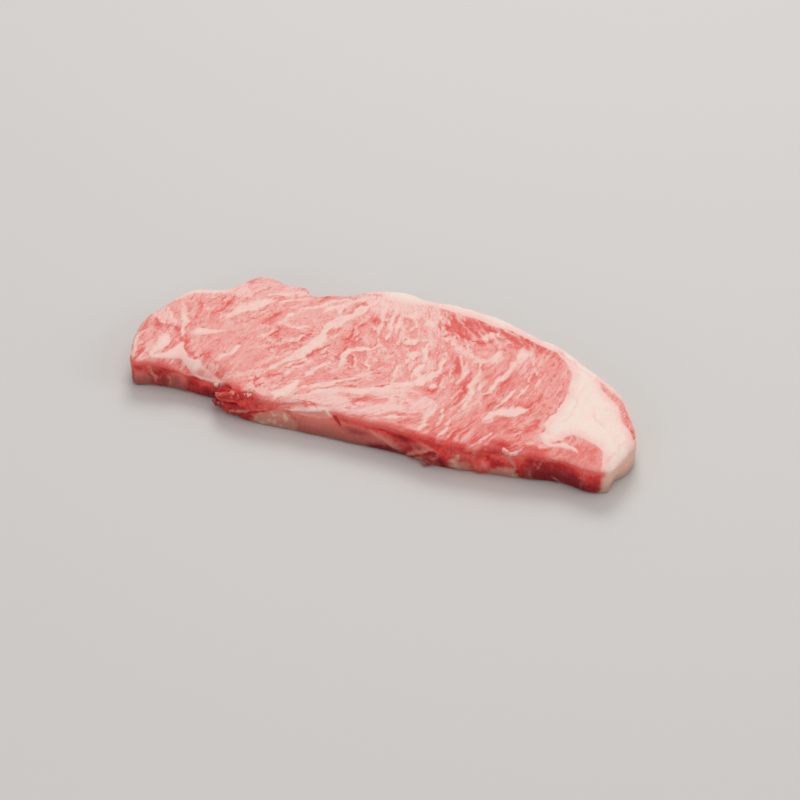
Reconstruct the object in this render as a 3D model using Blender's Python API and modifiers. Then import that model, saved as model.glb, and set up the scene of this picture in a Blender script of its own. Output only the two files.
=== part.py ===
"""Raw beef sirloin steak, one slab cut across the loin and lying on its lower cut face.

Metres, +Z up. +X runs along the steak to the end with the thick wedge of fat, and -Y is the
trimmed side that shows the torn flap. The origin is the centre of the footprint, on the surface
that the steak lies on.
"""

import math

import bmesh
import bpy
import numpy as np
from mathutils import Vector, kdtree, noise

MM = 0.001

# Driving dimensions
LENGTH = 0.219
WIDTH = 0.084
THICKNESS = 0.015
RIM_RADIUS = 0.0015
CUT_VOXEL = 0.0009
STEAK_TRIANGLES = 9200

# The rim seen from above, as shares of LENGTH and WIDTH from the centre: from the front left
# corner round the left end, along the back and round the fat end to the torn flap in front.
RIM = [
    (-0.477, -0.399), (-0.491, -0.310), (-0.500, -0.190), (-0.498, -0.088), (-0.480, 0.004),
    (-0.462, 0.100), (-0.437, 0.190), (-0.404, 0.219), (-0.374, 0.252), (-0.348, 0.338),
    (-0.323, 0.390), (-0.297, 0.391), (-0.265, 0.376), (-0.225, 0.382), (-0.213, 0.342),
    (-0.178, 0.370), (-0.142, 0.402), (-0.107, 0.458), (-0.055, 0.506), (-0.023, 0.510),
    (0.009, 0.492), (0.059, 0.503), (0.110, 0.495), (0.162, 0.478), (0.205, 0.438),
    (0.251, 0.397), (0.285, 0.376), (0.356, 0.274), (0.411, 0.186), (0.443, 0.129),
    (0.468, 0.031), (0.490, -0.067), (0.500, -0.155), (0.496, -0.238), (0.485, -0.333),
    (0.472, -0.400), (0.438, -0.412), (0.384, -0.393), (0.320, -0.419), (0.228, -0.450),
    (0.142, -0.474), (0.073, -0.448), (-0.009, -0.440), (-0.082, -0.433), (-0.155, -0.445),
    (-0.219, -0.462), (-0.254, -0.452), (-0.272, -0.405), (-0.301, -0.380), (-0.347, -0.371),
    (-0.397, -0.369), (-0.443, -0.381),
]

# Lines on the upper face, as shares of LENGTH and WIDTH, each with its half width and its height:
# fat and seams of fat stand up from the lean, and splits between bundles of fibre sink into it.
FACE_LINES = [
    # the seam that sets the small end muscles apart, running on along the front rim
    ([(-0.438, 0.15), (-0.429, 0.06), (-0.411, -0.07), (-0.402, -0.21), (-0.393, -0.28)], 0.0016, 0.0005),
    ([(-0.393, -0.28), (-0.365, -0.33), (-0.329, -0.37), (-0.301, -0.42)], 0.0022, 0.0006),
    # the broad vein that climbs to the back rim
    ([(-0.215, -0.29), (-0.174, -0.06), (-0.137, 0.13), (-0.091, 0.32), (-0.068, 0.39)], 0.0024, 0.0005),
    # the band of fat that rises from the front rim to the middle
    ([(-0.155, -0.43), (-0.069, -0.30), (0.000, -0.23), (0.064, -0.12), (0.087, -0.02)], 0.0024, 0.0006),
    # the split that follows the edge of the eye muscle against the wedge of fat
    ([(0.228, 0.37), (0.31, 0.29), (0.334, 0.19), (0.343, 0.0), (0.329, -0.18)], 0.0009, -0.0004),
    # splits between bundles of fibre
    ([(-0.128, 0.04), (-0.142, -0.04), (-0.155, -0.10)], 0.0010, -0.0005),
    ([(-0.091, 0.21), (-0.082, 0.15), (-0.105, 0.06)], 0.0010, -0.0005),
    ([(-0.251, 0.14), (-0.265, 0.08)], 0.0010, -0.0005),
    ([(-0.365, 0.21), (-0.366, 0.12), (-0.371, 0.05)], 0.0009, -0.0004),
    ([(-0.443, -0.11), (-0.420, -0.12), (-0.397, -0.20)], 0.0009, -0.0005),
    ([(-0.228, -0.31), (-0.226, -0.40)], 0.0010, -0.0006),
    ([(-0.041, -0.35), (-0.018, -0.31)], 0.0010, -0.0005),
]

# Strokes on the front side: start and end as (share of LENGTH, share of THICKNESS), half width
# and how far each stands out. Grooves are negative.
SIDE_STROKES = [
    # the gap under the thin lip of fat, with the second lip below it
    ((-0.160, 0.90), (-0.075, 0.90), 0.0006, -0.0016),
    ((-0.158, 0.80), (-0.040, 0.82), 0.0008, 0.0007),
    # the split that runs down from the rim, and the ridge of fat beside it
    ((-0.045, 0.95), (-0.022, 0.40), 0.0010, -0.0013),
    ((0.045, 0.80), (0.085, 0.20), 0.0011, 0.0009),
    ((0.085, 0.20), (0.150, 0.62), 0.0012, 0.0008),
    # the pit beside the curl of fat on the rim
    ((0.258, 0.97), (0.270, 0.90), 0.0012, -0.0018),
    # the end of the small muscle, which swells between two seams
    ((0.36, 0.50), (0.45, 0.45), 0.0040, 0.0006),
    ((0.455, 0.95), (0.455, 0.05), 0.0008, -0.0006),
]

# Where the lower edge stands out past the rim or lies back under it: place as shares of LENGTH and
# WIDTH, reach along and across, and how far out.
LOWER_EDGE = [
    # the foot of the side under the lips of fat
    (-0.090, -0.44, 0.028, 0.010, 0.0022),
    # the front half of the fat end and its corner, which stand out over the lower edge
    (0.486, -0.315, 0.008, 0.0046, -0.0028),
    (0.473, -0.399, 0.005, 0.003, -0.0016),
]

# The torn flap in front: strands of fibre that lie one above another and point to the left end.
FLAP_TIP = (-0.300, -0.425)
FLAP_ROOT = (-0.213, -0.425)
# how far the strands stand out between their tips and their roots, which run into the side
FLAP_BULGE = 0.0030
# each strand's reach past FLAP_TIP, its height at the tip and at the root, and its radius
FLAP_STRANDS = [
    (-0.0008, 0.0014, 0.0020, 0.0015),
    (0.0024, 0.0032, 0.0044, 0.0016),
    (-0.0010, 0.0056, 0.0076, 0.0015),
    (0.0006, 0.0082, 0.0102, 0.0014),
    (-0.0022, 0.0100, 0.0123, 0.0012),
]
# a second row fills the flap behind the first
FLAP_ROWS = 2
FLAP_ROW_STEP = 0.0023
STRAND_POINTS = 9

# Beads of torn fibre along the upper edge of the flap: they run from one place to the other, as
# (share of LENGTH, share of WIDTH, share of THICKNESS).
FLAP_BEADS = 8
BEAD_START = (-0.296, -0.431, 0.64)
BEAD_END = (-0.228, -0.450, 0.90)
BEAD_RADIUS = 0.0011

# The curl of fat on the front rim: where it starts, how far it spans along the rim and bulges out.
CURL_START = (0.268, -0.400)
CURL_SPAN = 0.0068
CURL_BULGE = 0.0027
CURL_RADIUS = 0.0010

# Scraps that hang on the lower edge of the front and of the fat end.
SCRAPS = [
    # (share of LENGTH, share of WIDTH, radius)
    (0.133, -0.462, 0.0026),
    (0.150, -0.455, 0.0019),
    (0.205, -0.442, 0.0019),
    (0.226, -0.438, 0.0022),
    (0.468, -0.369, 0.0015),
]

SHEEN = 0.42


def smooth_step(low, high, value):
    share = np.clip((value - low) / (high - low), 0.0, 1.0)
    return share * share * (3.0 - 2.0 * share)


def place(point):
    """A share of LENGTH and WIDTH as a distance from the centre of the steak."""
    return np.array([point[0] * LENGTH, point[1] * WIDTH])


def along_line(points, line):
    """Each point's distance from an open line of straight stretches, and how far along it lies."""
    lengths = [np.linalg.norm(end - start) for start, end in zip(line[:-1], line[1:])]
    nearest = np.full(len(points), np.inf)
    run = np.zeros(len(points))
    for index, (start, end) in enumerate(zip(line[:-1], line[1:])):
        along = end - start
        share = np.clip(((points - start) @ along) / (along @ along), 0.0, 1.0)
        offset = points - (start + share[:, None] * along)
        gap = np.hypot(offset[:, 0], offset[:, 1])
        closer = gap < nearest
        nearest[closer] = gap[closer]
        run[closer] = (sum(lengths[:index]) + share[closer] * lengths[index]) / sum(lengths)
    return nearest, run


def stroke(points, line, half_width):
    """A soft ridge along the line, 1 on it and 0 away from it, that dies out at both ends."""
    gap, run = along_line(points, line)
    ends = smooth_step(0.0, 0.25, run) * smooth_step(1.0, 0.75, run)
    return np.exp(-((gap / half_width) ** 2)) * (0.15 + 0.85 * ends)


def ripple(points, size, seed):
    """Smooth noise from -1 to 1 whose lumps measure size, which may differ along each axis."""
    offset = Vector((seed * 17.3, seed * 5.1, seed * 9.7))
    scaled = points / np.array(size)
    return np.array([noise.noise(Vector(point) + offset) for point in scaled])


def rim_material():
    material = bpy.data.materials.new("raw_beef")
    material.use_nodes = True
    shader = material.node_tree.nodes["Principled BSDF"]
    shader.inputs["Base Color"].default_value = (0.74, 0.29, 0.26, 1.0)
    shader.inputs["Roughness"].default_value = SHEEN
    shader.inputs["Metallic"].default_value = 0.0
    return material


def new_collection(name):
    collection = bpy.data.collections.new(name)
    bpy.context.scene.collection.children.link(collection)
    return collection


def as_mesh_object(source, name, collection):
    """A curve's evaluated shape as a mesh of its own, in the curve's place."""
    graph = bpy.context.evaluated_depsgraph_get()
    mesh = bpy.data.meshes.new_from_object(source.evaluated_get(graph))
    made = bpy.data.objects.new(name, mesh)
    made.matrix_world = source.matrix_world
    collection.objects.link(made)
    bpy.data.objects.remove(source)
    shell = bmesh.new()
    shell.from_mesh(mesh)
    bmesh.ops.remove_doubles(shell, verts=shell.verts, dist=0.01 * MM)
    shell.to_mesh(mesh)
    shell.free()
    return made


def make_slab(collection):
    """The steak as cut: the rim's outline at full thickness, its edges rounded."""
    outline = bpy.data.curves.new("rim", "CURVE")
    outline.dimensions = "2D"
    outline.fill_mode = "BOTH"
    outline.resolution_u = 6
    outline.bevel_depth = RIM_RADIUS
    outline.bevel_resolution = 3
    outline.offset = -RIM_RADIUS
    outline.extrude = THICKNESS / 2 - RIM_RADIUS
    spline = outline.splines.new("BEZIER")
    spline.bezier_points.add(len(RIM) - 1)
    spline.use_cyclic_u = True
    for point, share in zip(spline.bezier_points, RIM):
        point.co = (*place(share), 0.0)
        point.handle_left_type = point.handle_right_type = "AUTO"
    rim = bpy.data.objects.new("rim", outline)
    collection.objects.link(rim)
    rim.location.z = THICKNESS / 2
    bpy.context.view_layer.update()
    slab = as_mesh_object(rim, "slab", collection)
    slab.data.transform(slab.matrix_world)
    slab.location.z = 0.0
    even = slab.modifiers.new("even faces", "REMESH")
    even.mode = "VOXEL"
    even.voxel_size = CUT_VOXEL
    soften = slab.modifiers.new("soften", "SMOOTH")
    soften.factor = 0.5
    soften.iterations = 3
    return slab


def rim_samples():
    """Points all round the rim with their outward directions, for finding the nearest."""
    corners = np.array([place(share) for share in RIM])
    after = np.roll(corners, -1, axis=0)
    shares = np.linspace(0.0, 1.0, 12, endpoint=False)[:, None, None]
    points = (corners + (after - corners) * shares).transpose(1, 0, 2).reshape(-1, 2)
    along = np.roll(points, -4, axis=0) - np.roll(points, 4, axis=0)
    along /= np.linalg.norm(along, axis=1)[:, None]
    outward = np.stack([-along[:, 1], along[:, 0]], axis=1)
    return points, outward


def nearest_rim(points):
    """For each point, how far in from the rim it is and which way is out."""
    samples, outward = rim_samples()
    tree = kdtree.KDTree(len(samples))
    for index, sample in enumerate(samples):
        tree.insert((*sample, 0.0), index)
    tree.balance()
    found = [tree.find((*point, 0.0)) for point in points]
    index = np.array([hit[1] for hit in found])
    return np.array([hit[2] for hit in found]), outward[index]


def upper_face_height(plan, inset, outward):
    """How far the upper face stands above or below the even thickness."""
    broad = 0.55 * MM * ripple(np.c_[plan, np.zeros(len(plan))], (0.034, 0.026, 1.0), 1)
    lumps = 0.22 * MM * ripple(np.c_[plan, np.zeros(len(plan))], (0.010, 0.013, 1.0), 2)
    # The edge is soft all round, the least along the back and the most at the fat end.
    to_back = smooth_step(-0.1, 0.5, outward[:, 1])
    to_end = smooth_step(0.4, 0.9, outward[:, 0])
    shoulder = -1.1 * MM * np.exp(-inset / (3.5 * MM)) * (1.0 - 0.7 * to_back + 1.0 * to_end)
    # The front rim slopes away beside the torn flap.
    slope_line = [place(p) for p in [(-0.375, -0.38), (-0.315, -0.39)]]
    slope = -3.6 * MM * np.exp(-((along_line(plan, slope_line)[0] / (6.0 * MM)) ** 2))
    # The fibres lie in bundles that run up to the back rim.
    lean = plan @ np.array([[0.94, 0.34], [-0.34, 0.94]])
    bundles = 0.28 * MM * ripple(np.c_[lean, np.zeros(len(plan))], (0.0035, 0.014, 1.0), 3)
    height = broad + lumps + shoulder + slope + bundles
    for line, half_width, rise in FACE_LINES:
        height += rise * stroke(plan, [place(point) for point in line], half_width)
    # The wedge of fat and the cap along the back are smooth and stand a little proud.
    wedge_line = [place(p) for p in [(0.40, 0.13), (0.40, -0.05), (0.44, -0.25)]]
    height += 0.5 * MM * np.exp(-((along_line(plan, wedge_line)[0] / (11.0 * MM)) ** 2))
    return height


def side_swell(points, outward):
    """How far the side stands out from the rim's plan."""
    swell = 0.55 * MM * ripple(points, (0.016, 0.016, 0.011), 5)
    swell += 0.25 * MM * ripple(points, (0.0045, 0.0045, 0.018), 6)
    ragged = smooth_step(3.5 * MM, 0.5 * MM, points[:, 2])
    swell += 0.5 * MM * ragged * ripple(points, (0.005, 0.005, 0.004), 7)
    on_front = smooth_step(0.45, 0.8, -outward[:, 1])
    face = points[:, [0, 2]]
    for start, end, half_width, rise in SIDE_STROKES:
        line = [np.array([x * LENGTH, z * THICKNESS]) for x, z in (start, end)]
        swell += rise * on_front * stroke(face, line, half_width)
    return swell


def sculpt(slab):
    """Moves the slab's vertices: the upper face, then the side."""
    mesh = slab.data
    points = np.empty(len(mesh.vertices) * 3, np.float32)
    mesh.vertices.foreach_get("co", points)
    points = points.reshape(-1, 3).astype(float)
    inset, outward = nearest_rim(points[:, :2])
    level = np.clip(points[:, 2] / THICKNESS, 0.0, 1.0)
    on_side = np.exp(-((inset / (2.2 * MM)) ** 2)) * smooth_step(0.02, 0.10, level)
    swell = side_swell(points, outward) * on_side
    low = (1.0 - level) ** 1.5 * np.exp(-((inset / (3.0 * MM)) ** 2))
    for x_share, y_share, along, across, out in LOWER_EDGE:
        x, y = place((x_share, y_share))
        swell += out * low * np.exp(-(((points[:, 0] - x) / along) ** 2) - ((points[:, 1] - y) / across) ** 2)
    rise = upper_face_height(points[:, :2], inset, outward) * level**3
    points[:, :2] += outward * swell[:, None]
    points[:, 2] += rise
    points[points[:, 2] < 0.2 * MM, 2] = 0.0
    mesh.vertices.foreach_set("co", points.astype(np.float32).ravel())
    mesh.update()


def apply_modifiers(source, collection):
    """The object's evaluated mesh in place of its modifiers."""
    graph = bpy.context.evaluated_depsgraph_get()
    mesh = bpy.data.meshes.new_from_object(source.evaluated_get(graph))
    made = bpy.data.objects.new(source.name, mesh)
    collection.objects.link(made)
    bpy.data.objects.remove(source)
    return made


def make_strand(name, points, radius, collection):
    """One strand of torn fibre: a tube through the points, thin at its free end."""
    strand = bpy.data.curves.new(name, "CURVE")
    strand.dimensions = "3D"
    strand.bevel_depth = radius
    strand.bevel_resolution = 2
    strand.use_fill_caps = True
    spline = strand.splines.new("POLY")
    spline.points.add(len(points) - 1)
    for index, (vertex, point) in enumerate(zip(spline.points, points)):
        vertex.co = (*point, 1.0)
        vertex.radius = 0.5 + 0.5 * math.sin(0.5 * math.pi * min(1.0, 2.5 * index / len(points)))
    made = bpy.data.objects.new(name, strand)
    collection.objects.link(made)
    bpy.context.view_layer.update()
    return as_mesh_object(made, name, collection)


def make_flap(collection):
    """The strands of the torn flap, one above another, that run back into the side."""
    tip, root = place(FLAP_TIP), place(FLAP_ROOT)
    for index in range(FLAP_ROWS * len(FLAP_STRANDS)):
        row, layer = divmod(index, len(FLAP_STRANDS))
        reach, tip_height, root_height, radius = FLAP_STRANDS[layer]
        reach -= 1.5 * MM * row
        points = []
        for step in range(STRAND_POINTS):
            run = step / (STRAND_POINTS - 1)
            x = tip[0] - reach + (root[0] - tip[0] + reach) * run
            y = tip[1] + (root[1] - tip[1]) * run + 0.35 * MM * math.sin(6.0 * run + 1.3 * layer)
            y += FLAP_ROW_STEP * row - (FLAP_BULGE - 0.8 * radius) * math.sin(math.pi * run) ** 0.8
            z = tip_height + (root_height - tip_height) * run
            z += 0.45 * MM * math.sin(4.0 * run + 1.7 * layer) + 0.4 * MM * row
            points.append((x, y, z))
        make_strand(f"strand_{index}", points, radius, collection)


def make_lump(name, centre, radius, flatness, collection):
    """A small rounded lump, lower than it is wide."""
    bpy.ops.mesh.primitive_uv_sphere_add(segments=10, ring_count=7, radius=radius, location=centre)
    lump = bpy.context.active_object
    lump.name = name
    lump.scale = (1.15, 0.9, flatness)
    for holder in lump.users_collection:
        holder.objects.unlink(lump)
    collection.objects.link(lump)
    return lump


def make_trimmings(collection):
    """Beads of torn fibre on the flap's edge, scraps on the lower edges and the curl in front."""
    size = np.array([LENGTH, WIDTH, THICKNESS])
    first, last = np.array(BEAD_START) * size, np.array(BEAD_END) * size
    for index in range(FLAP_BEADS):
        run = index / (FLAP_BEADS - 1)
        x, y, z = first + (last - first) * run
        y -= 1.0 * MM * math.sin(math.pi * run) + 0.3 * MM * math.sin(2.3 * index)
        z += 0.5 * MM * math.sin(1.9 * index)
        radius = BEAD_RADIUS * (1.0 + 0.2 * math.sin(3.1 * index))
        make_lump(f"bead_{index}", (x, y, z), radius, 0.9, collection)
    for index, (x_share, y_share, radius) in enumerate(SCRAPS):
        x, y = place((x_share, y_share))
        make_lump(f"scrap_{index}", (x, y, 0.75 * radius), radius, 0.7, collection)
    start = place(CURL_START)
    curl = []
    for step in range(STRAND_POINTS):
        run = step / (STRAND_POINTS - 1)
        x = start[0] + CURL_SPAN * run
        y = start[1] - CURL_BULGE * math.sin(math.pi * run) + 0.4 * MM * math.sin(9.0 * run)
        z = THICKNESS - 1.1 * MM + 0.6 * MM * math.cos(2.0 * math.pi * run)
        curl.append((x, y, z))
    make_strand("curl", curl, CURL_RADIUS, collection)


def fuse(steak, extras):
    """One union joins everything in the extras collection to the steak, then that collection goes."""
    join = steak.modifiers.new("join", "BOOLEAN")
    join.operation = "UNION"
    join.operand_type = "COLLECTION"
    join.collection = extras
    join.solver = "EXACT"


def thin_out(slab):
    """Fewer triangles where the surface is flat, the most where it turns or folds."""
    thin = slab.modifiers.new("thin out", "DECIMATE")
    slab.data.calc_loop_triangles()
    thin.ratio = STEAK_TRIANGLES / len(slab.data.loop_triangles)


def settle(steak):
    """Flattens the resting face and puts the origin at the centre of the footprint."""
    mesh = steak.data
    points = np.empty(len(mesh.vertices) * 3, np.float32)
    mesh.vertices.foreach_get("co", points)
    points = points.reshape(-1, 3)
    points[points[:, 2] < 0.15 * MM, 2] = 0.0
    points[:, :2] -= (points[:, :2].min(axis=0) + points[:, :2].max(axis=0)) / 2
    mesh.vertices.foreach_set("co", points.ravel())
    mesh.update()


def main():
    for old in list(bpy.data.objects):
        bpy.data.objects.remove(old)
    parts = new_collection("beef_sirloin_steak")
    extras = new_collection("trimmings")
    slab = apply_modifiers(make_slab(parts), parts)
    sculpt(slab)
    thin_out(slab)
    slab = apply_modifiers(slab, parts)
    make_flap(extras)
    make_trimmings(extras)
    fuse(slab, extras)
    steak = apply_modifiers(slab, parts)
    for extra in list(extras.objects):
        bpy.data.objects.remove(extra)
    bpy.data.collections.remove(extras)
    steak.name = "steak"
    settle(steak)
    steak.data.materials.clear()
    steak.data.materials.append(rim_material())
    steak.data.shade_smooth()


main()
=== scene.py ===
import math

import bmesh
import bpy
import numpy as np
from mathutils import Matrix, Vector, kdtree, noise


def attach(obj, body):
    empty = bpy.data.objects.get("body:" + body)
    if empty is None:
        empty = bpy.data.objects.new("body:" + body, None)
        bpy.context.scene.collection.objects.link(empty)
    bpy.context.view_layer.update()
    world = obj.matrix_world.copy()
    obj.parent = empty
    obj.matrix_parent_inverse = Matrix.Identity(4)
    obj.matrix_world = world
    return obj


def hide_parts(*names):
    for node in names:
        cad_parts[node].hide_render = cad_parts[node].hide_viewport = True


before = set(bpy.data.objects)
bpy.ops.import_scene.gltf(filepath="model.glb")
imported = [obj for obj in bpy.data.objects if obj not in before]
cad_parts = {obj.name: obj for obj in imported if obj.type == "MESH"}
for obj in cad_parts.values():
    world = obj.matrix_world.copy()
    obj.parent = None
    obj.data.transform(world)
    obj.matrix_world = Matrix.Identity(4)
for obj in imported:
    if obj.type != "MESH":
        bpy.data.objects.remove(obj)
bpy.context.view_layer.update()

mm = 0.001


# Small helpers for shapes.

def smoothStep(low, high, value):
    share = np.clip((value - low) / (high - low), 0.0, 1.0)
    return share * share * (3.0 - 2.0 * share)


def ripple(points, size, seed):
    # smooth noise from -1 to 1, its lumps as big as size: one number, or one along each axis
    offset = Vector((seed * 17.3, seed * 5.1, seed * 9.7))
    return np.array([noise.noise(Vector(point) + offset) for point in points / np.array(size)])


def waves(points, kind, seed):
    height, size = kind
    return height * ripple(points, size, seed)


def softLine(corners, closed=False, steps=6):
    # a rounded line through the corners
    corners = np.array(corners, float)
    count = len(corners)
    if count < 3:
        return corners
    made = []
    for index in range(count if closed else count - 1):
        if closed:
            a, b, c, d = (corners[(index + k) % count] for k in (-1, 0, 1, 2))
        else:
            a, b, c, d = (corners[min(max(index + k, 0), count - 1)] for k in (-1, 0, 1, 2))
        for step in range(steps):
            t = step / steps
            made.append(0.5 * (2 * b + (c - a) * t + (2 * a - 5 * b + 4 * c - d) * t * t
                               + (3 * b - a - 3 * c + d) * t ** 3))
    if not closed:
        made.append(corners[-1])
    return np.array(made)


def fadeEnds(run, least, reach):
    # 1 along a stroke, and down to least at both of its ends
    return least + (1.0 - least) * smoothStep(0.0, reach, run) * smoothStep(1.0, 1.0 - reach, run)


def bell(gap, reach):
    return np.exp(-((gap / reach) ** 2))


def alongLine(points, line):
    # distance from an open line and the share of its length that the nearest place lies at
    lengths = np.linalg.norm(np.diff(line, axis=0), axis=1)
    before = np.concatenate([[0.0], np.cumsum(lengths)])
    nearest = np.full(len(points), 1e9)
    run = np.zeros(len(points))
    for index in range(len(line) - 1):
        start, along = line[index], line[index + 1] - line[index]
        share = np.clip(((points - start) @ along) / max(along @ along, 1e-9), 0.0, 1.0)
        offset = points - (start + share[:, None] * along)
        gap = np.hypot(offset[:, 0], offset[:, 1])
        closer = gap < nearest
        nearest[closer] = gap[closer]
        run[closer] = (before[index] + share[closer] * lengths[index]) / before[-1]
    return nearest, run


# What a field says of places that are far from all that is drawn in it, in mm.
faraway = -5.0


def nearTo(points, line, reach):
    low, high = line.min(axis=0) - reach, line.max(axis=0) + reach
    return np.all((points > low) & (points < high), axis=1)


def lineField(points, lines):
    # how far inside the nearest line each point is, in mm; negative outside
    field = np.full(len(points), faraway)
    for halfWidth, corners in lines:
        line = softLine(corners)
        near = nearTo(points, line, halfWidth - faraway)
        if not near.any():
            continue
        gap, run = alongLine(points[near], line)
        field[near] = np.maximum(field[near], halfWidth * fadeEnds(run, 0.25, 0.3) - gap)
    return field


def areaField(points, areas):
    # how far inside the nearest closed area each point is, in mm; negative outside
    field = np.full(len(points), faraway)
    for corners in areas:
        line = softLine(corners, closed=True)
        line = np.vstack([line, line[:1]])
        near = nearTo(points, line, -faraway)
        if not near.any():
            continue
        some = points[near]
        gap, _ = alongLine(some, line)
        inside = np.zeros(len(some), bool)
        for (x0, y0), (x1, y1) in zip(line[:-1], line[1:]):
            if y0 == y1:
                continue
            spans = (some[:, 1] > min(y0, y1)) & (some[:, 1] <= max(y0, y1))
            inside ^= spans & (some[:, 0] < x0 + (some[:, 1] - y0) * (x1 - x0) / (y1 - y0))
        field[near] = np.maximum(field[near], np.where(inside, gap, -gap))
    return field


def spotField(points, spots):
    # the same for round spots
    field = np.full(len(points), faraway)
    for x, y, radius in spots:
        field = np.maximum(field, radius - np.hypot(points[:, 0] - x, points[:, 1] - y))
    return field


def toneField(points, blots):
    # soft patches of stronger or paler colour
    tone = np.zeros(len(points))
    for x, y, wide, deep, amount in blots:
        tone += amount * bell(points[:, 0] - x, wide) * bell(points[:, 1] - y, deep)
    return tone


def meshFrom(source):
    graph = bpy.context.evaluated_depsgraph_get()
    return bpy.data.meshes.new_from_object(source.evaluated_get(graph))


def verticesOf(mesh):
    flat = np.empty(len(mesh.vertices) * 3, np.float32)
    mesh.vertices.foreach_get("co", flat)
    return flat.reshape(-1, 3).astype(float)


slab = {
    "length": 219.0,
    "width": 84.0,
    "thickness": 15.0,
    "rimRadius": 1.2,
    "rimSteps": 3,
    "outlineSteps": 10,
    "weld": 0.01,
    "voxel": 0.66,
    "softness": 0.5,
    "softenings": 4,
    # the rim from above, as shares of length and width from the centre
    "rim": [
        (-0.477, -0.399), (-0.491, -0.310), (-0.500, -0.190), (-0.498, -0.088), (-0.480, 0.004),
        (-0.462, 0.100), (-0.437, 0.190), (-0.404, 0.219), (-0.374, 0.252), (-0.348, 0.338),
        (-0.323, 0.390), (-0.297, 0.391), (-0.265, 0.376), (-0.225, 0.382), (-0.213, 0.342),
        (-0.178, 0.370), (-0.142, 0.402), (-0.107, 0.458), (-0.055, 0.506), (-0.023, 0.510),
        (0.009, 0.492), (0.059, 0.503), (0.110, 0.495), (0.162, 0.478), (0.205, 0.438),
        (0.251, 0.397), (0.285, 0.376), (0.356, 0.274), (0.411, 0.186), (0.443, 0.129),
        (0.468, 0.031), (0.490, -0.067), (0.500, -0.155), (0.496, -0.238), (0.485, -0.333),
        (0.472, -0.400), (0.438, -0.412), (0.384, -0.393), (0.320, -0.419), (0.228, -0.450),
        (0.142, -0.474), (0.073, -0.448), (-0.009, -0.440), (-0.082, -0.433), (-0.155, -0.445),
        (-0.219, -0.462), (-0.254, -0.452), (-0.272, -0.405), (-0.301, -0.380), (-0.347, -0.371),
        (-0.397, -0.369), (-0.443, -0.381),
    ],
}

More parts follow.
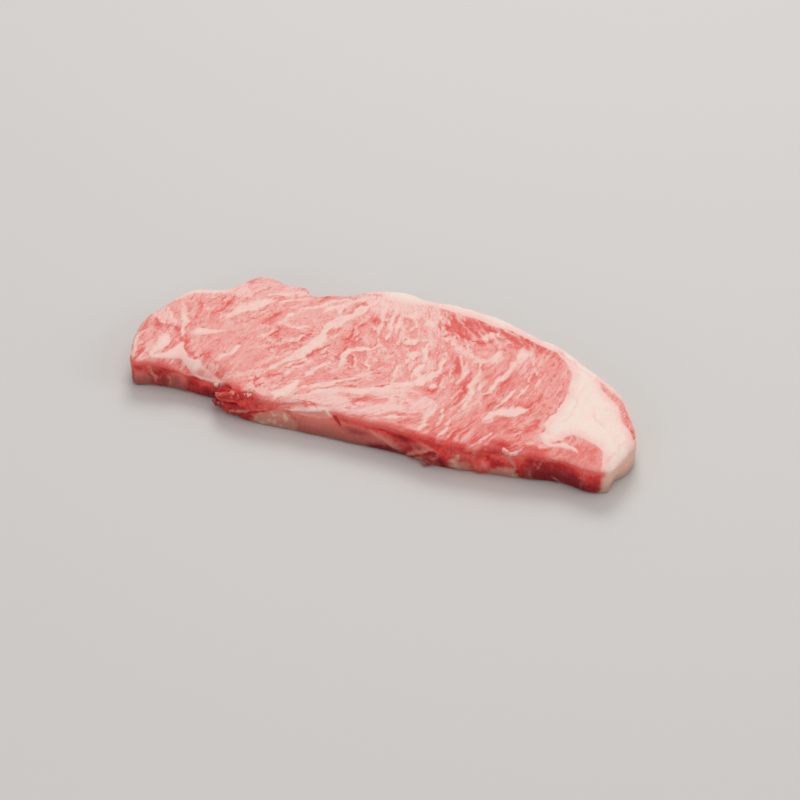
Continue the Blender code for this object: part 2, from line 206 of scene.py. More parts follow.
# Fat on the upper face, in mm from the centre: areas with a clear edge.
fat = {
    "areas": [
        # the cap along the back and the wedge at the right end
        [(-27, 37.8), (-20, 37.6), (-16, 36.6), (-12, 35.4), (-8, 34.8), (-4, 35.4), (1, 37), (9, 37.8),
         (16, 37.2), (21, 36.6), (26, 36), (30, 35), (36, 34.2), (40, 33.8), (46, 32.2), (52, 30.4),
         (56, 29.2), (60, 28), (64, 26.4), (68, 23), (70.5, 20.3), (73, 17.2), (74.2, 13), (75, 8),
         (75, 4), (74.5, -1), (73.5, -6), (72.2, -12), (71.4, -17), (72.8, -19.4), (71.3, -22.5),
         (73.4, -25.8), (76.6, -27.6), (80, -27.4), (84, -26.8), (87.6, -27.6), (89.8, -28.8),
         (88.8, -26.6), (86, -25.2), (83.4, -24.2), (81.4, -23.2), (81.6, -21), (84, -19),
         (88, -19.3), (93, -21.2),
         (97.4, -23), (99.8, -27), (100.6, -31), (100.4, -35), (101, -46), (118, -45), (122, 0),
         (100, 30), (60, 56), (-30, 56)],
        # the triangle between the small end muscles and the seam that runs from it
        [(-88.5, -16.5), (-90, -21), (-93, -25), (-98.4, -29.6), (-95, -29.3), (-90, -27.4),
         (-86, -26.2), (-83, -27.6), (-79.5, -30), (-76, -33.2), (-70, -34.6), (-64.6, -34.6),
         (-65.2, -31.6), (-68.6, -29.8), (-72.4, -28.2), (-75.4, -26.4), (-77.8, -24.4),
         (-81.6, -24.6), (-84.6, -22.4), (-86.4, -20)],
        [(-99.2, -31), (-98.4, -23), (-97.8, -16), (-95.4, -14.8), (-93, -19), (-94.6, -23),
         (-97, -27.6)],
        # the narrow strip along the rim behind the left end
        [(-105, 4), (-101.4, 6.4), (-98.6, 8.6), (-96.6, 11.6), (-92.6, 13.8), (-87.6, 15.6), (-84, 17.6),
         (-81, 20.4), (-78.6, 24), (-77, 28), (-80, 31), (-92, 25), (-105, 16)],
        # short thick seams
        [(-86.4, -7.6), (-85, -11.8), (-81, -10.4), (-77, -7.6), (-73, -4), (-78.6, -6), (-82.6, -6.2)],
        [(-33.6, -23), (-36.6, -27), (-40.6, -31.6), (-42.4, -34.4), (-38.4, -35.4), (-34.6, -32.4),
         (-33, -27)],
        [(19.6, -8), (20.4, -7.7), (21.8, -8.2), (22.3, -8.8), (22, -10.1), (21.4, -10.6), (20, -11.1),
         (19.3, -10.6), (19.2, -9)],
    ],
    # paler ground that fades into the lean
    "softAreas": [
        # inside the corner behind the left end
        [(-86, 17), (-82, 21), (-78.6, 27), (-75, 29), (-73.4, 25), (-69.6, 18.2),
         (-74, 16.2), (-79, 17)],
        # the smooth corner of the left end
        [(-107, -3.5), (-104, 0.5), (-98, -2.5), (-94, -7.6), (-98, -8.4), (-103, -6.5)],
        # the ground under the band
        [(-35, -37), (-30, -32), (-22, -27.4), (-15, -24.4), (-6, -21.5), (0, -19), (6, -14.5),
         (12, -11), (14, -14), (17, -15), (21, -16.3), (24, -17.4), (26.4, -19.6), (25.4, -24),
         (23, -27), (20, -26), (14, -27.6), (10, -29.3), (5, -31), (0, -32.5), (-8, -34.8),
         (-18, -39), (-30, -42)],
        # where the cap runs out into the lean
        [(-26, 37), (-14, 36), (-4, 36), (4, 37.5), (3, 31), (-3, 27), (-9, 29), (-15, 27), (-20, 29),
         (-24, 32)],
        # clouds of fat in the middle
        [(5, 37), (6, 30), (5.5, 25), (9, 23), (13, 21), (17, 18.5), (21, 16.5), (23, 19), (18, 22),
         (13, 25.4), (11, 29), (10, 34), (9, 38)],
        [(20.8, 19.6), (24, 18.6), (28, 17.2), (31, 14.4), (36, 13.6), (40, 16.5), (42, 21), (43.4, 17),
         (41, 12), (36, 10.4), (31, 11.2), (27, 13.4), (23, 15.2)],
        [(49, 24), (48.6, 17), (47, 11), (50, 11), (52, 15), (53, 20), (55.5, 17.8), (56.4, 19.8),
         (52.5, 23.6)],
        [(46.8, -21.8), (47, -18.6), (49, -15.4), (53.6, -12.2), (60, -9.6), (61.6, -11.6),
         (56, -15.4), (51, -18.6), (48.6, -22.6)],
    ],
    # lean that lies inside the fat
    "islands": [
        [(86.5, 14.7), (89.5, 12.6), (93, 10.2), (97, 8.4), (99.8, 6.4), (103.4, 0.8), (107.4, -5.2),
         (110.6, -11), (113, -17), (110.4, -17), (108.4, -12), (105.4, -7.6), (102, -4.5),
         (99.4, -0.5), (97.4, 3.4), (94.4, 6.2), (91, 8.5), (88.5, 11)],
        [(-16, -26), (-10, -24.4), (-4, -23), (2, -22.2), (5.5, -22.8), (4.4, -25), (1, -26.8),
         (-4, -28), (-10, -27.6)],
        [(12, -15.6), (15, -15.2), (18.4, -16.4), (16, -18.8), (13, -18.6)],
        [(77, -25.2), (79, -24.7), (81.2, -23.5), (80.9, -24.5), (78.6, -25.7)],
    ],
    "specks": [(10.5, -23, 0.9), (14.0, -23.5, 1.1)],
}

# Seams of fat in the lean: half width and the places that each runs through.
veins = [
    (2.3, [(-16, 38), (-22, 27), (-26, 21), (-30, 15), (-32.2, 9), (-33.6, 3), (-36, -3),
           (-38.6, -8), (-43, -14), (-47.4, -20), (-51, -26)]),
    (1.9, [(-31, -32.5), (-22, -27.4), (-15, -24), (-8, -21.6), (-3, -20.4), (2, -17), (6, -14),
           (11, -11), (15, -8), (17.6, -4), (19.6, 0), (20.6, 5), (20, 12)]),
    (1.5, [(47.2, -21.4), (48, -19), (51, -16), (56, -13.6), (62, -10.4)]),
    (2.5, [(-76, 4), (-71.4, 9.6), (-66.6, 14), (-59, 19.6)]),
    (1.0, [(-106.2, -16), (-107, -24), (-104.4, -31.5)]),
    (1.2, [(-28, 18), (-32, 24), (-26, 31), (-20, 35)]),
    (1.1, [(-39, 19), (-34, 24.4), (-29, 29), (-23, 33.6)]),
    (0.8, [(-21, 34), (-32, 29.2), (-40, 23.2), (-47, 17), (-50.4, 11), (-49, 7.4), (-40, 8.4)]),
    (1.2, [(-63, 21.5), (-57, 24.6), (-50, 28), (-42, 31)]),
    (0.8, [(-60, 18), (-54, 21.4), (-47, 26)]),
    (0.9, [(-63, -10), (-66.5, -16), (-70.4, -22)]),
    (0.7, [(-59, -4.4), (-53, 2.2)]),
    (0.8, [(-45.4, -3.4), (-40.6, 2.6)]),
    (0.8, [(-53, 7), (-46, 7.4), (-39, 8.6)]),
    (0.7, [(-61, -1), (-66, -6)]),
    (1.0, [(-99, 9.5), (-95.6, 3), (-93, -3), (-90.8, -8), (-88.6, -15)]),
    (0.6, [(-103, 1), (-99, -3), (-96, -8)]),
    (1.2, [(-20, -11), (-21.2, -3), (-19, 1), (-15, 2.6), (-10, 4), (-7.6, 7.6)]),
    (0.8, [(-11, 2), (-9.6, -3), (-8, -9)]),
    (0.6, [(-17.6, -2), (-15, -4), (-14.4, -9)]),
    (0.9, [(-13, 37), (-13, 27), (-11.6, 19), (-11, 11)]),
    (0.8, [(-8.5, 35), (-9, 26), (-7, 16), (-6, 9)]),
    (0.8, [(-4.5, 34), (-5, 24), (-3.6, 15)]),
    (0.7, [(0, 35), (0.4, 27), (2.4, 21)]),
    (0.6, [(-38, -9), (-34, -11), (-31, -14)]),
    (0.7, [(-33, -12), (-37, -16), (-42, -22)]),
    (0.6, [(-33, -8), (-38, -13), (-43, -20)]),
    (0.5, [(-28, -12), (-33, -18), (-37, -25)]),
    (1.2, [(-25, -9), (-30, -14), (-32, -20)]),
    (0.8, [(-9, -13), (-16, -18.6), (-24, -25), (-30, -31)]),
    (0.6, [(-6, -10), (-14, -16), (-21, -21)]),
    (0.7, [(-23, -22), (-31, -29), (-37, -36)]),
    (1.0, [(11, -11.5), (11, -5), (12, 2), (11, 9), (11, 17)]),
    (0.8, [(12.4, -10.5), (15, -3.6), (16.6, 1)]),
    (1.1, [(3.4, -1), (3.6, -9)]),
    (0.7, [(-1, 33), (2, 25), (1, 18)]),
    (1.1, [(33, 11.6), (36.4, 8), (36.4, 2), (36, -5), (37, -12), (36, -18)]),
    (0.8, [(23.6, 14.6), (27, 11), (29.4, 5), (31, -2)]),
    (0.5, [(30.4, 9), (31, 2), (31, -7)]),
    (0.9, [(31, 23.6), (33.6, 28.6), (38.5, 30)]),
    (0.5, [(34, 32), (38.5, 25)]),
    (0.8, [(41.6, 23), (41, 12)]),
    (1.2, [(50.6, 17), (49, 12), (46.4, 5), (45, -1), (42, -7.6), (42.4, -15)]),
    (0.8, [(56.4, 5), (53.4, -2.6), (51, -9.6), (49.6, -15)]),
    (0.6, [(41, 3), (39.6, -3), (41, -8)]),
    (0.4, [(52, 21.5), (57, 16.4), (60, 10)]),
    (0.6, [(57.5, 12), (58.6, 4), (57, -4)]),
    (0.5, [(62.6, 14), (62, 4), (60, -3)]),
    (0.8, [(26.4, -19), (24.4, -27.6), (23, -38)]),
    (0.7, [(31, -38), (33, -33), (34, -26)]),
    (0.6, [(35.4, -37), (37.8, -30)]),
    (0.4, [(44, -38), (49, -34), (52, -29), (52.5, -24)]),
    (0.6, [(28.5, -18), (30, -25), (29, -33)]),
    (0.5, [(2, -35), (10, -32), (18, -29)]),
]

# Softer blots of fat.
veinSpots = [(3.6, 13.6, 2.0), (6.8, 5.2, 2.5), (5.6, 2.2, 1.6), (-84.6, -9.6, 2.2),
             (-31.6, -18, 1.7), (-15, 33, 2.2), (-66, 33, 1.0), (34.5, 27.5, 1.3),
             (8, 27, 2.0), (50.6, 20, 1.8), (-1, 29, 1.6), (11, 32, 0.9), (12.6, 30, 0.5),
             (15.4, 30.4, 0.5), (14, 27.2, 0.6), (17.2, 28.4, 0.3), (16, 24.6, 0.6),
             (20.6, 22.6, 0.5), (24.6, 30, 0.3)]

# Dark splits between bundles of fibre.
splits = [
    (0.35, [(-102, -8), (-97, -9), (-92.4, -9.8), (-89.6, -12.8), (-87.4, -17), (-85.6, -20.6),
            (-82.6, -23.2)]),
    (0.3, [(-90.5, 11), (-88.5, 6)]),
    (0.35, [(-84, 16), (-86.5, 9.5)]),
    (0.3, [(-81.5, 15.5), (-83, 11)]),
    (0.4, [(-77.5, 17.5), (-79, 12), (-79.5, 6), (-82, 3.5)]),
    (0.3, [(-74.5, 15.5), (-75.5, 10)]),
    (0.35, [(-83, -21), (-80, -24), (-77.4, -20.4), (-74.4, -18.6)]),
    (0.3, [(-76, -19), (-74.4, -24)]),
    (0.3, [(-70, -21.6), (-69.6, -24.4)]),
    (0.55, [(-22, 17), (-21.3, 10.5), (-22.8, 6.5), (-25, 3.5)]),
    (0.5, [(-19, 20), (-19.8, 14.5)]),
    (0.5, [(-14.3, 23), (-15.3, 20)]),
    (0.4, [(-17.3, 10), (-19.7, 5.6)]),
    (0.35, [(-22.6, 2.2), (-22, -2.4)]),
    (0.3, [(-30.4, 13), (-30.8, 8), (-28.6, 13)]),
    (0.55, [(-28.3, 4), (-31, -1.5), (-33.4, -6), (-35.2, -9)]),
    (0.5, [(-38.2, 5.2), (-40, 2.2)]),
    (0.4, [(-41, 0.6), (-43.6, -3.2)]),
    (0.4, [(-52.4, 3.2), (-53.6, -1), (-55.2, -3.2)]),
    (0.6, [(-54.8, 13), (-57.5, 9), (-59.2, 5.6)]),
    (0.4, [(-42.8, -21.8), (-46.7, -25.2)]),
    (0.5, [(-52, -26), (-50.3, -28.3), (-50.8, -30), (-49.3, -33)]),
    (0.45, [(-3.8, -25.4), (-6, -26.7), (-7, -28.6), (-9.4, -29.1)]),
    (0.3, [(-18, -3.8), (-18.6, -9.4)]),
    (0.3, [(-16.5, -3.8), (-16, -9.2)]),
    (0.4, [(18.4, -11.6), (20.4, -12.2), (22.6, -11.8)]),
    (0.5, [(23, -8.4), (24, -10.6)]),
    (0.5, [(33.4, -2.8), (34, -8), (33.9, -13.4)]),
    (0.3, [(47.2, -9.5), (46.6, -13), (47.2, -16.6)]),
    (0.5, [(40.1, -28.3), (38.2, -33), (35.8, -38.4)]),
    (0.35, [(43, -23.8), (42, -30), (40.8, -38.2)]),
    (0.3, [(47, -26.8), (46, -33.4)]),
    (0.45, [(65.1, -0.8), (63, -6), (60.4, -11.4)]),
    (0.35, [(69.1, -12.8), (67, -18), (65.9, -23.4)]),
    (0.3, [(75.3, 5), (74.4, -1), (73.2, -7), (71.8, -13), (72.6, -19.8)]),
    (0.5, [(50, 9), (48.4, 1)]),
    (0.4, [(43.5, -3.8), (44, -9.2)]),
    (0.4, [(25.4, 9.6), (27.6, 3)]),
    (0.35, [(10.8, 29.4), (14.6, 23.8)]),
    (0.3, [(13.8, 30.4), (17.7, 25.3)]),
    (0.35, [(18, 27), (24, 23.4), (31, 22.6), (37, 26)]),
    (0.3, [(16, 21), (17.6, 24.6)]),
    (0.3, [(12, 34), (16.5, 31), (22, 31.6)]),
    (0.3, [(9, 31.6), (13, 29), (17.4, 27.8), (20, 24.8)]),
    (0.35, [(16, 34.6), (19.6, 30), (21.6, 25)]),
    (0.3, [(14.6, 27), (20, 24.6), (25, 22.2), (30, 22)]),
    (0.3, [(33, 33), (36, 30.6), (42, 31)]),
    (0.35, [(33, 27), (38, 27.4), (44, 29.6), (52, 27)]),
    (0.35, [(46, 31.8), (50, 30.4), (55, 28.4)]),
    (0.25, [(45, 25), (50, 23.6), (54, 24.6)]),
    (0.4, [(-44.3, 28.7), (-39.2, 29.1)]),
    (0.35, [(-33.5, -36), (-27, -34.6), (-20, -36.2), (-14, -38.5)]),
    (0.9, [(54.6, -32.0), (57.4, -33.1), (61, -33.4)]),
]

# Pinkish creases in the fat.
creases = [
    (0.5, [(64, 27.5), (72, 22.8), (80, 18), (87.4, 13.6)]),
    (0.5, [(79, 4), (80.5, -3), (79.5, -9), (77, -15)]),
    (0.3, [(84, 1), (90, -0.6), (95, 0.4)]),
    (0.5, [(106, -15), (104.6, -22), (102.6, -30)]),
    (0.4, [(72, -19.5), (76, -20.4), (80, -21.8)]),
    (0.4, [(88, -2), (92, -8), (99, -12)]),
]

# Patches where the colour is redder, or paler where the last number is negative.
tones = [
    (25, 30, 7.5, 6.5, 0.95), (27.5, 34, 3, 2.4, 0.2), (36, 29, 5, 4, 0.4), (48, 28, 10, 3.4, 0.6),
    (53, -22, 8, 8, 0.35), (54, -10, 9, 9, 0.2), (50, 12, 6, 12, 0.1), (32, -32, 8, 5, 0.35),
    (34, 4, 6, 12, 0.15), (64, -12, 7, 8, 0.25), (62, 16, 8, 8, 0.15), (-18, -22, 12, 4, 0.2),
    (14, -32, 9, 3.4, 0.4), (-82, -3, 6, 7, 0.1), (-40, -2, 6, 6, 0.15), (-85, 14, 10, 4, -0.4),
    (-42, 6, 4, 4, -0.25), (-30, 14, 8, 6, -0.2), (13, 29, 5, 6, 0.3), (-73, -32.5, 9, 3, 0.4),
    (54, 28, 4, 3, 0.3), (62, 25, 6, 3, 0.45), (15, 32, 4, 4, 0.4), (26, 6, 3, 5, 0.4),
    (50, 4, 2.4, 6, 0.4), (40.6, 5, 1.2, 4, 0.2), (48.5, -6, 1.8, 5, 0.2), (34, -8, 1.6, 7, 0.5),
    (55, -34, 7, 2.4, 0.8), (64, -32.6, 5, 2.8, 0.9), (72, -31.4, 5, 2.2, 0.9),
    (57.6, -33.0, 2.4, 0.9, 1.4), (-86, -24, 4, 3, 0.4), (-76, -30.4, 8, 3, 0.85),
    (-61, -34.4, 1.8, 1.3, -0.9), (90, -27.6, 9, 7, 0.22), (46, -36, 4, 3, 0.3),
    (-56, -37.6, 6.5, 1.7, 1.1), (-49, -37.5, 4, 1.3, 0.7), (-21, 11, 3, 7, 0.25),
    (-32, -2, 2, 5, 0.3), (-57, 9, 3, 4, 0.35), (-82, 10, 5, 6, 0.25),
    (-102.6, -9, 3.6, 4.0, 0.85), (-102.4, -28, 3, 2, 0.4), (-67, 27, 5, 4, -0.3),
    (-109.6, -14, 2.2, 4, 0.8), (-97, -19, 1.4, 5, 0.2), (22, -10, 2.5, 2, 0.3), (76, -30, 1.3, 1.3, 0.9),
    (-101, 1, 3.5, 7, -0.15), (-66, -12, 12, 12, -0.1), (-40, 15, 9, 9, -0.15),
    (108.5, -11, 2, 4, 0.5), (91, -27, 8, 6, 0.2), (-65, 27, 8, 5, -0.75), (-84, -28.5, 4, 1.4, 0.35),
    (79.2, -24.6, 1.8, 0.7, 0.8),
    (-80, 11, 7, 6, -0.5), (-62, 12, 8, 5, -0.36), (-96, 6, 6, 5, -0.2), (-80, 20, 5, 3, -0.12),
    (-58, 23, 9, 5, -0.24), (-38, 7, 9, 4, -0.18), (-22, 13, 4, 9, -0.3), (0, 21, 5, 5, -0.32),
    (16, 31, 4, 4, -0.5), (21, 25, 3, 3, -0.2), (45, 26, 3, 3, -0.3), (46, -8, 2.5, 4, -0.2),
    (70, -2, 4, 7, -0.14), (14, -15, 10, 6, -0.14), (-30, -20, 5, 4, -0.2), (-44, -23, 5, 3, -0.3),
    (5, -35, 10, 3, -0.22), (39, -32, 4, 4, -0.2), (50, -25, 7, 4, 0.35), (50, -12, 6, 8, 0.2),
    (62, -11, 7, 3, 0.2), (-15, -21, 8, 3, 0.32), (40, 0, 4, 6, 0.18), (30, -31, 6, 8, 0.25),
    (-79, -7, 7, 6, 0.22), (-50, -30, 6, 4, 0.24), (60, -35, 5, 3, 0.2), (97, -30, 5, 4, 0.25),
    (-50, -7, 7, 7, 0.16), (-70, -26, 6, 3, 0.2), (-90, -8, 5, 6, 0.12), (-88, -20, 5, 4, 0.12),
    (-10, 12, 5, 4, 0.16), (0, 0, 5, 9, 0.08),
]

# Patches where the lean is smooth and even: place, size along and across, and how even.
calmSpots = [(-71, -8, 12, 10, 0.85), (-100, 1, 5, 8, 0.8), (-68, 28, 7, 5, 0.7), (-43, 16, 9, 9, 0.8),
             (-30, 26, 9, 6, 0.5), (90, -28, 12, 9, 1.0), (66, 4, 8, 20, 0.45), (-60, -18, 8, 8, 0.6),
             (-5, -30, 14, 5, 0.7), (14, -24, 8, 5, 0.6), (-104, -10, 4, 4, 0.5), (-92, -20, 6, 6, 0.3),
             (28, -31, 13, 6, 0.6), (50, -25, 12, 9, 0.55), (52, -2, 14, 16, 0.5), (41, 10, 10, 11, 0.45)]

# Which way the fibres run: place on the upper face and the angle from the long axis, in degrees,
# how far each of them counts in mm, and the grid that they are worked out on.
fibreReach = 7.5
fibreGrid = {"x": (-118.0, 119.0), "y": (-52.0, 53.0)}
fibres = [
    (-100, -20, 80), (-100, 0, 113), (-92, -5, 113), (-85, 12, 68), (-85, -10, 90), (-78, 10, 80),
    (-70, 25, 45), (-65, 12, 38), (-66, -17, 58), (-60, -5, 45), (-55, 8, 55), (-45, 25, 40),
    (-50, 0, 55), (-45, -15, 55), (-35, 20, 55), (-35, -5, 62), (-35, -18, 50), (-40, -32, 50),
    (-25, 10, 68), (-20, 25, 60), (-25, -18, 45), (-15, 0, 80), (-12, 25, 80), (-15, -15, 50),
    (-15, -30, 22), (-5, 10, 97), (-2, 25, 105), (0, -5, 88), (0, -18, 32), (5, -32, 25),
    (10, 27, 128), (12, 10, 97), (12, -5, 70), (20, 20, 130), (22, 5, 110), (25, -5, 105),
    (15, -22, 20), (20, -33, 30), (30, 15, 120), (30, 0, 98), (30, -20, 88), (33, 28, 150),
    (32, -33, 68), (40, 20, 95), (42, 0, 85), (42, -15, 80), (42, -33, 65), (45, 28, 160),
    (50, 10, 72), (52, -5, 70), (53, -25, 60), (60, 20, 65), (62, 0, 62), (62, -20, 58),
    (70, 5, 70), (68, -15, 60), (72, -30, 40), (84, -30, 20), (90, -24, 150), (96, -29, 60), (90, 0, 90),
]

# How red the front rim is, and how far in, from the left end to the right end.
rimBlush = [(-112, 0.3), (-104, 0.5), (-98, 0.7), (-93, 1.0), (-86, 0.7), (-80, 0.6), (-77, 0.0),
            (-66, 0.0), (-64.5, 0.5), (-61, 0.7), (-57, 1.1), (-55, 1.6), (-53, 1.7), (-47, 1.2),
            (-42, 0.7), (-37, 0.4), (-33, 0.0), (-17, 0.0), (-14, 0.7), (-6, 0.7), (6, 1.0), (20, 1.3),
            (30, 1.6), (36, 1.3), (43, 1.5), (47, 0.5), (51, 1.5), (57, 2.2), (60, 1.4), (65, 0.9),
            (71, 1.3), (76, 1.2), (80, 0.5), (84, 0.2), (96, 0.3), (100, 0.8), (102, 0.5), (104, 0.0)]

# The front side: places are (along the steak, height) in mm.
frontSide = {
    # tan fat
    "fat": [
        [(-49, 0.4), (-48, 4.2), (-44.8, 7), (-41, 9), (-37.4, 10.6), (-34.2, 9.4), (-31.4, 7),
         (-30, 3), (-31, -2), (-49, -2)],
        [(54.6, -2), (54.8, 3.5), (58, 5.2), (62, 5.4), (65.4, 3.6), (66.4, -2)],
        [(38, 2), (39.6, 8.6), (42, 9.2), (42.2, 5.6), (45.4, 4.6), (46.6, 1.4), (45, -2), (42, -2),
         (40.4, 0.6)],
        [(-81, 15.4), (-75.4, 13.3), (-70, 12.2), (-65.8, 10.8), (-64.4, 12.6), (-66, 17), (-81, 18)],
        [(102.6, -4), (102.4, 8), (102.8, 13), (104, 16), (105, 20), (130, 20), (130, -4)],
    ],
    # membrane
    "skin": [
        [(-32, -3), (-30.5, 6), (-32.5, 9.8), (-27, 10.6), (-16, 10.6), (-9, 11), (0, 10.6), (6, 9.6),
         (12, 7.6), (17, 4.4), (13, 3.0), (6, 3.0), (1.5, 1.4), (0, -3)],
        [(-104.5, -3), (-104, 7), (-100, 9), (-97, 4), (-96, -3)],
        [(-90, -3), (-89, 5), (-87.4, 11), (-83.4, 11.6), (-81.4, 7), (-82, 2), (-83, -3)],
        [(20.4, 9), (23, 11), (27, 12), (31, 10.4), (28, 8.4), (24, 5)],
    ],
    # pale seams
    "seams": [
        (0.75, [(-98, 14), (-96.4, 8), (-94, 1)]),
        (0.5, [(-89.8, 9.5), (-88.4, 2)]),
        (0.45, [(-57, 4), (-50, 6.5), (-44, 9), (-40, 12)]),
        (1.1, [(2.4, 9.8), (8, 7.5), (12, 5), (16, 2.6)]),
        (0.95, [(18, 0.5), (22, 4.2), (27, 8.2), (30, 10), (33.6, 8.6)]),
        (0.8, [(22.5, 0.2), (25.6, 2.4), (28.5, 3.8)]),
        (0.6, [(31, 0.4), (30.6, 3.2), (33, 7)]),
        (0.7, [(61.4, 13.8), (64.2, 9), (66.2, 4.6)]),
        (0.1, [(73.8, 15), (72.6, 9.5), (71, 4), (73, 0.8)]),
        (0.0, [(77.2, 14.6), (75.2, 10), (73.6, 6.5)]),
        (0.0, [(94.2, 13.8), (93.2, 8), (92.8, 0)]),
        (0.3, [(80, 4), (83, 1.6), (84, 0.4)]),
        (0.5, [(47.4, 9), (48.6, 13)]),
    ],
    # the salmon groove along the rim; above 15 these go on over the face, inwards from the rim
    "grooves": [(0.8, [(-36.4, 13.1), (-30, 14.3), (-26, 15.1), (-21, 15.9), (-15, 16.8)])],
    # the lips of cream fat under the rim
    "lips": [
        (1.0, [(-34.6, 11.7), (-31.4, 12.1), (-28, 12.7), (-24, 13.6), (-20, 14.6), (-17, 15.2)]),
        (0.45, [(-18, 15.4), (-16.4, 14.2), (-14.4, 11.8)]),
    ],
    "splits": [
        (0.8, [(-14, 13.2), (-12.2, 10.2), (-10.4, 6.8)]),
        (0.5, [(-52, 4), (-46, 7), (-42, 9.6)]),
        (0.5, [(21, 8.4), (21.8, 5.2)]),
        (0.5, [(28.4, 4.8), (32, 8.6)]),
    ],
    # redder patches, and paler ones where the last number is negative
    "tones": [
        (-102, 11.2, 2.2, 2.2, 0.45), (-92.8, 10, 3.4, 3.0, 0.4), (-91, 4, 1.4, 3, 0.3),
        (-79, 10.5, 2.4, 2.6, 0.5),
        (-86, 7.5, 4, 5, 0.6), (-102, 5, 5, 4, 0.3), (-96, 5, 3, 3, 0.3), (-4, 7.4, 11, 3, 0.35),
        (25, 8, 6, 4, 0.25), (37, 6, 3, 4, -0.35), (48, 12, 4, 1.6, 0.3), (100, 11, 3, 3.5, 0.35),
        (76, 11.5, 5, 2, 0.4), (48, 1, 8, 1.6, -0.25), (84, 12, 5, 1.6, 0.35), (99, 5, 2, 4, 0.2),
        (-78.6, 6.5, 1.7, 2.4, 0.55), (-72, 3.5, 4, 2.5, 0.4), (-87, 1, 4, 2, 0.2), (-73, 9, 4, 2, -0.15),
        (-4, 8, 8, 3, 0.3), (24, 9, 6, 3, 0.5), (57, 8, 2, 3, 0.2), (63, 13, 3, 1.6, -0.3),
        (47, 5, 5, 3, -0.15), (76, 13.6, 3, 1.4, -0.2), (95, 12.6, 4, 1.6, -0.2), (-48, 10, 3, 2, 0.3),
        (-47, 12.4, 4.5, 1.6, 0.35), (-53, 6.4, 3, 1.3, 0.5), (-38, 12.4, 3, 1.6, -0.3),
        (-26, 11.0, 8, 1.8, -1.2), (-17.5, 12.5, 4, 2.2, -0.8), (-33, 10.6, 1.6, 1.2, 0.1),
        (15.5, 10.8, 5, 2, 0.9), (18.6, 11.8, 2.4, 1.6, 0.4), (8, 12.2, 4, 0.9, 0.6),
        # the first patch below deepens the foot under the pale ridge: painted shade
        (9, 1.0, 8, 1.8, 0.9), (30.4, 7, 1.8, 1.6, 0.5), (34.5, 2.2, 1.5, 2.8, 0.6),
        (30.5, 13.4, 3, 1.4, 0.5), (37, 13, 2.4, 1.4, 0.4), (45, 7, 2, 2, 0.3), (0, 7, 6, 3, 0.2),
        (26.5, 1.6, 3, 2, -0.5), (38.5, 6.5, 2.4, 3, 0.1), (49, 4.0, 3.4, 3.8, -0.75),
        (53, 5, 1.8, 2.6, -0.8), (53.8, 10.2, 1.0, 1.8, 0.6), (51.2, 11.4, 1.1, 1.6, 0.3),
        (60, 7.6, 4.5, 1.8, 0.35), (67.5, 12, 2.2, 2, -0.35), (70.6, 10, 1.5, 3, 0.3),
        (83, 9.5, 12, 2.6, 0.4), (83, 4, 11, 4.5, 0.75), (90.6, 4, 2.4, 5, 0.6), (74, 4.5, 4, 4, 0.3),
        (99, 4.5, 2.6, 5, -0.25), (97.5, 13, 3.5, 1.6, -0.1), (101.8, 10, 1.4, 5, -0.45),
    ],
    # how far strokes stand out, in mm: start, end, half width, rise
    "relief": [
        ((-35.4, 13.5), (-25, 15.2), 0.7, -1.3), ((-34.6, 11.8), (-20, 14.4), 0.9, 1.4),
        ((-13.8, 13.8), (-10.4, 6.6), 0.8, -1.2), ((2.4, 9.8), (16, 2.6), 1.1, 0.8),
        ((18, 0.5), (30, 10), 1.3, 0.8), ((28.6, 5), (32, 8.6), 1.0, -0.8),
        ((79, 7.5), (98.5, 6.8), 4.0, 0.5), ((93.6, 14.3), (92.8, 0.8), 0.5, -0.3),
        ((-91, 14), (-90.6, 2), 0.8, -0.25), ((50, 9), (51.6, 1.6), 2.4, 0.7),
        ((53.6, 12.6), (53.8, 8.6), 0.6, -0.4), ((33, -1), (33.6, 3), 1.2, -1.0),
        ((-52.5, 4.4), (-43, 9.6), 0.5, -0.6), ((63.4, 13.8), (66.6, 4.6), 0.8, 0.5),
        ((71.6, 14), (71, 2), 0.6, -0.35), ((76, 13), (76.4, 3), 0.6, -0.35),
    ],
}

# The back and the left end, which carry the same kinds of thing as the front.
backSide = {
    # the cap, as far as it runs on the upper face, and the strip behind the left end
    "fat": [
        [(-38, 20), (-35, 13), (-29.5, 10), (-27, 5.4), (-20.6, 2), (-17, -4), (130, -4), (130, 20)],
        [(-105.6, 20), (-104, 11.4), (-98, 9), (-91, 7.6), (-84, 9.4), (-78, 12.4), (-75, 20)],
        [(-63, -3), (-60.4, 2.4), (-54, 4.6), (-49, 2.8), (-46, -3)],
    ],
    "skin": [
        [(-101, -3), (-99, 5), (-94, 7), (-90, 3), (-89, -3)],
        [(-74, 15), (-73, 8), (-66, 5.5), (-60, 9), (-62, 15)],
        [(-46, -3), (-45, 6), (-38, 9.5), (-31, 6), (-28, -3)],
    ],
    "seams": [
        (0.8, [(-87, 8), (-83, 5), (-79, 0)]), (0.7, [(-74, 5), (-66, 8.5), (-58, 13)]),
        (0.6, [(-56, 1), (-50, 6), (-44, 13)]), (0.6, [(-70, 0), (-64, 3)]),
    ],
    "splits": [(0.4, [(-77, 10), (-76, 5), (-77.4, 1)]), (0.35, [(-49, 12), (-48, 7)])],
    "tones": [
        (-82, 3, 4, 3, 0.4), (-70, 11, 4, 3, 0.3), (-56, 10, 5, 3, 0.35), (-40, 12, 4, 2, 0.3),
    ],
}

# How far what is drawn wanders, as nothing in meat has a ruled edge: height and size of the waves, in mm.
drift = {
    "broad": (1.7, (5.5, 5.5, 1.0)),
    "fine": (0.75, (1.9, 1.9, 1.0)),
    "side": [(1.1, 3.0), (0.9, 2.4)],
    # fat, islands and lines on the side wander by these shares of it
    "fat": 0.45,
    "islands": 0.4,
    "sideLines": 0.5,
}

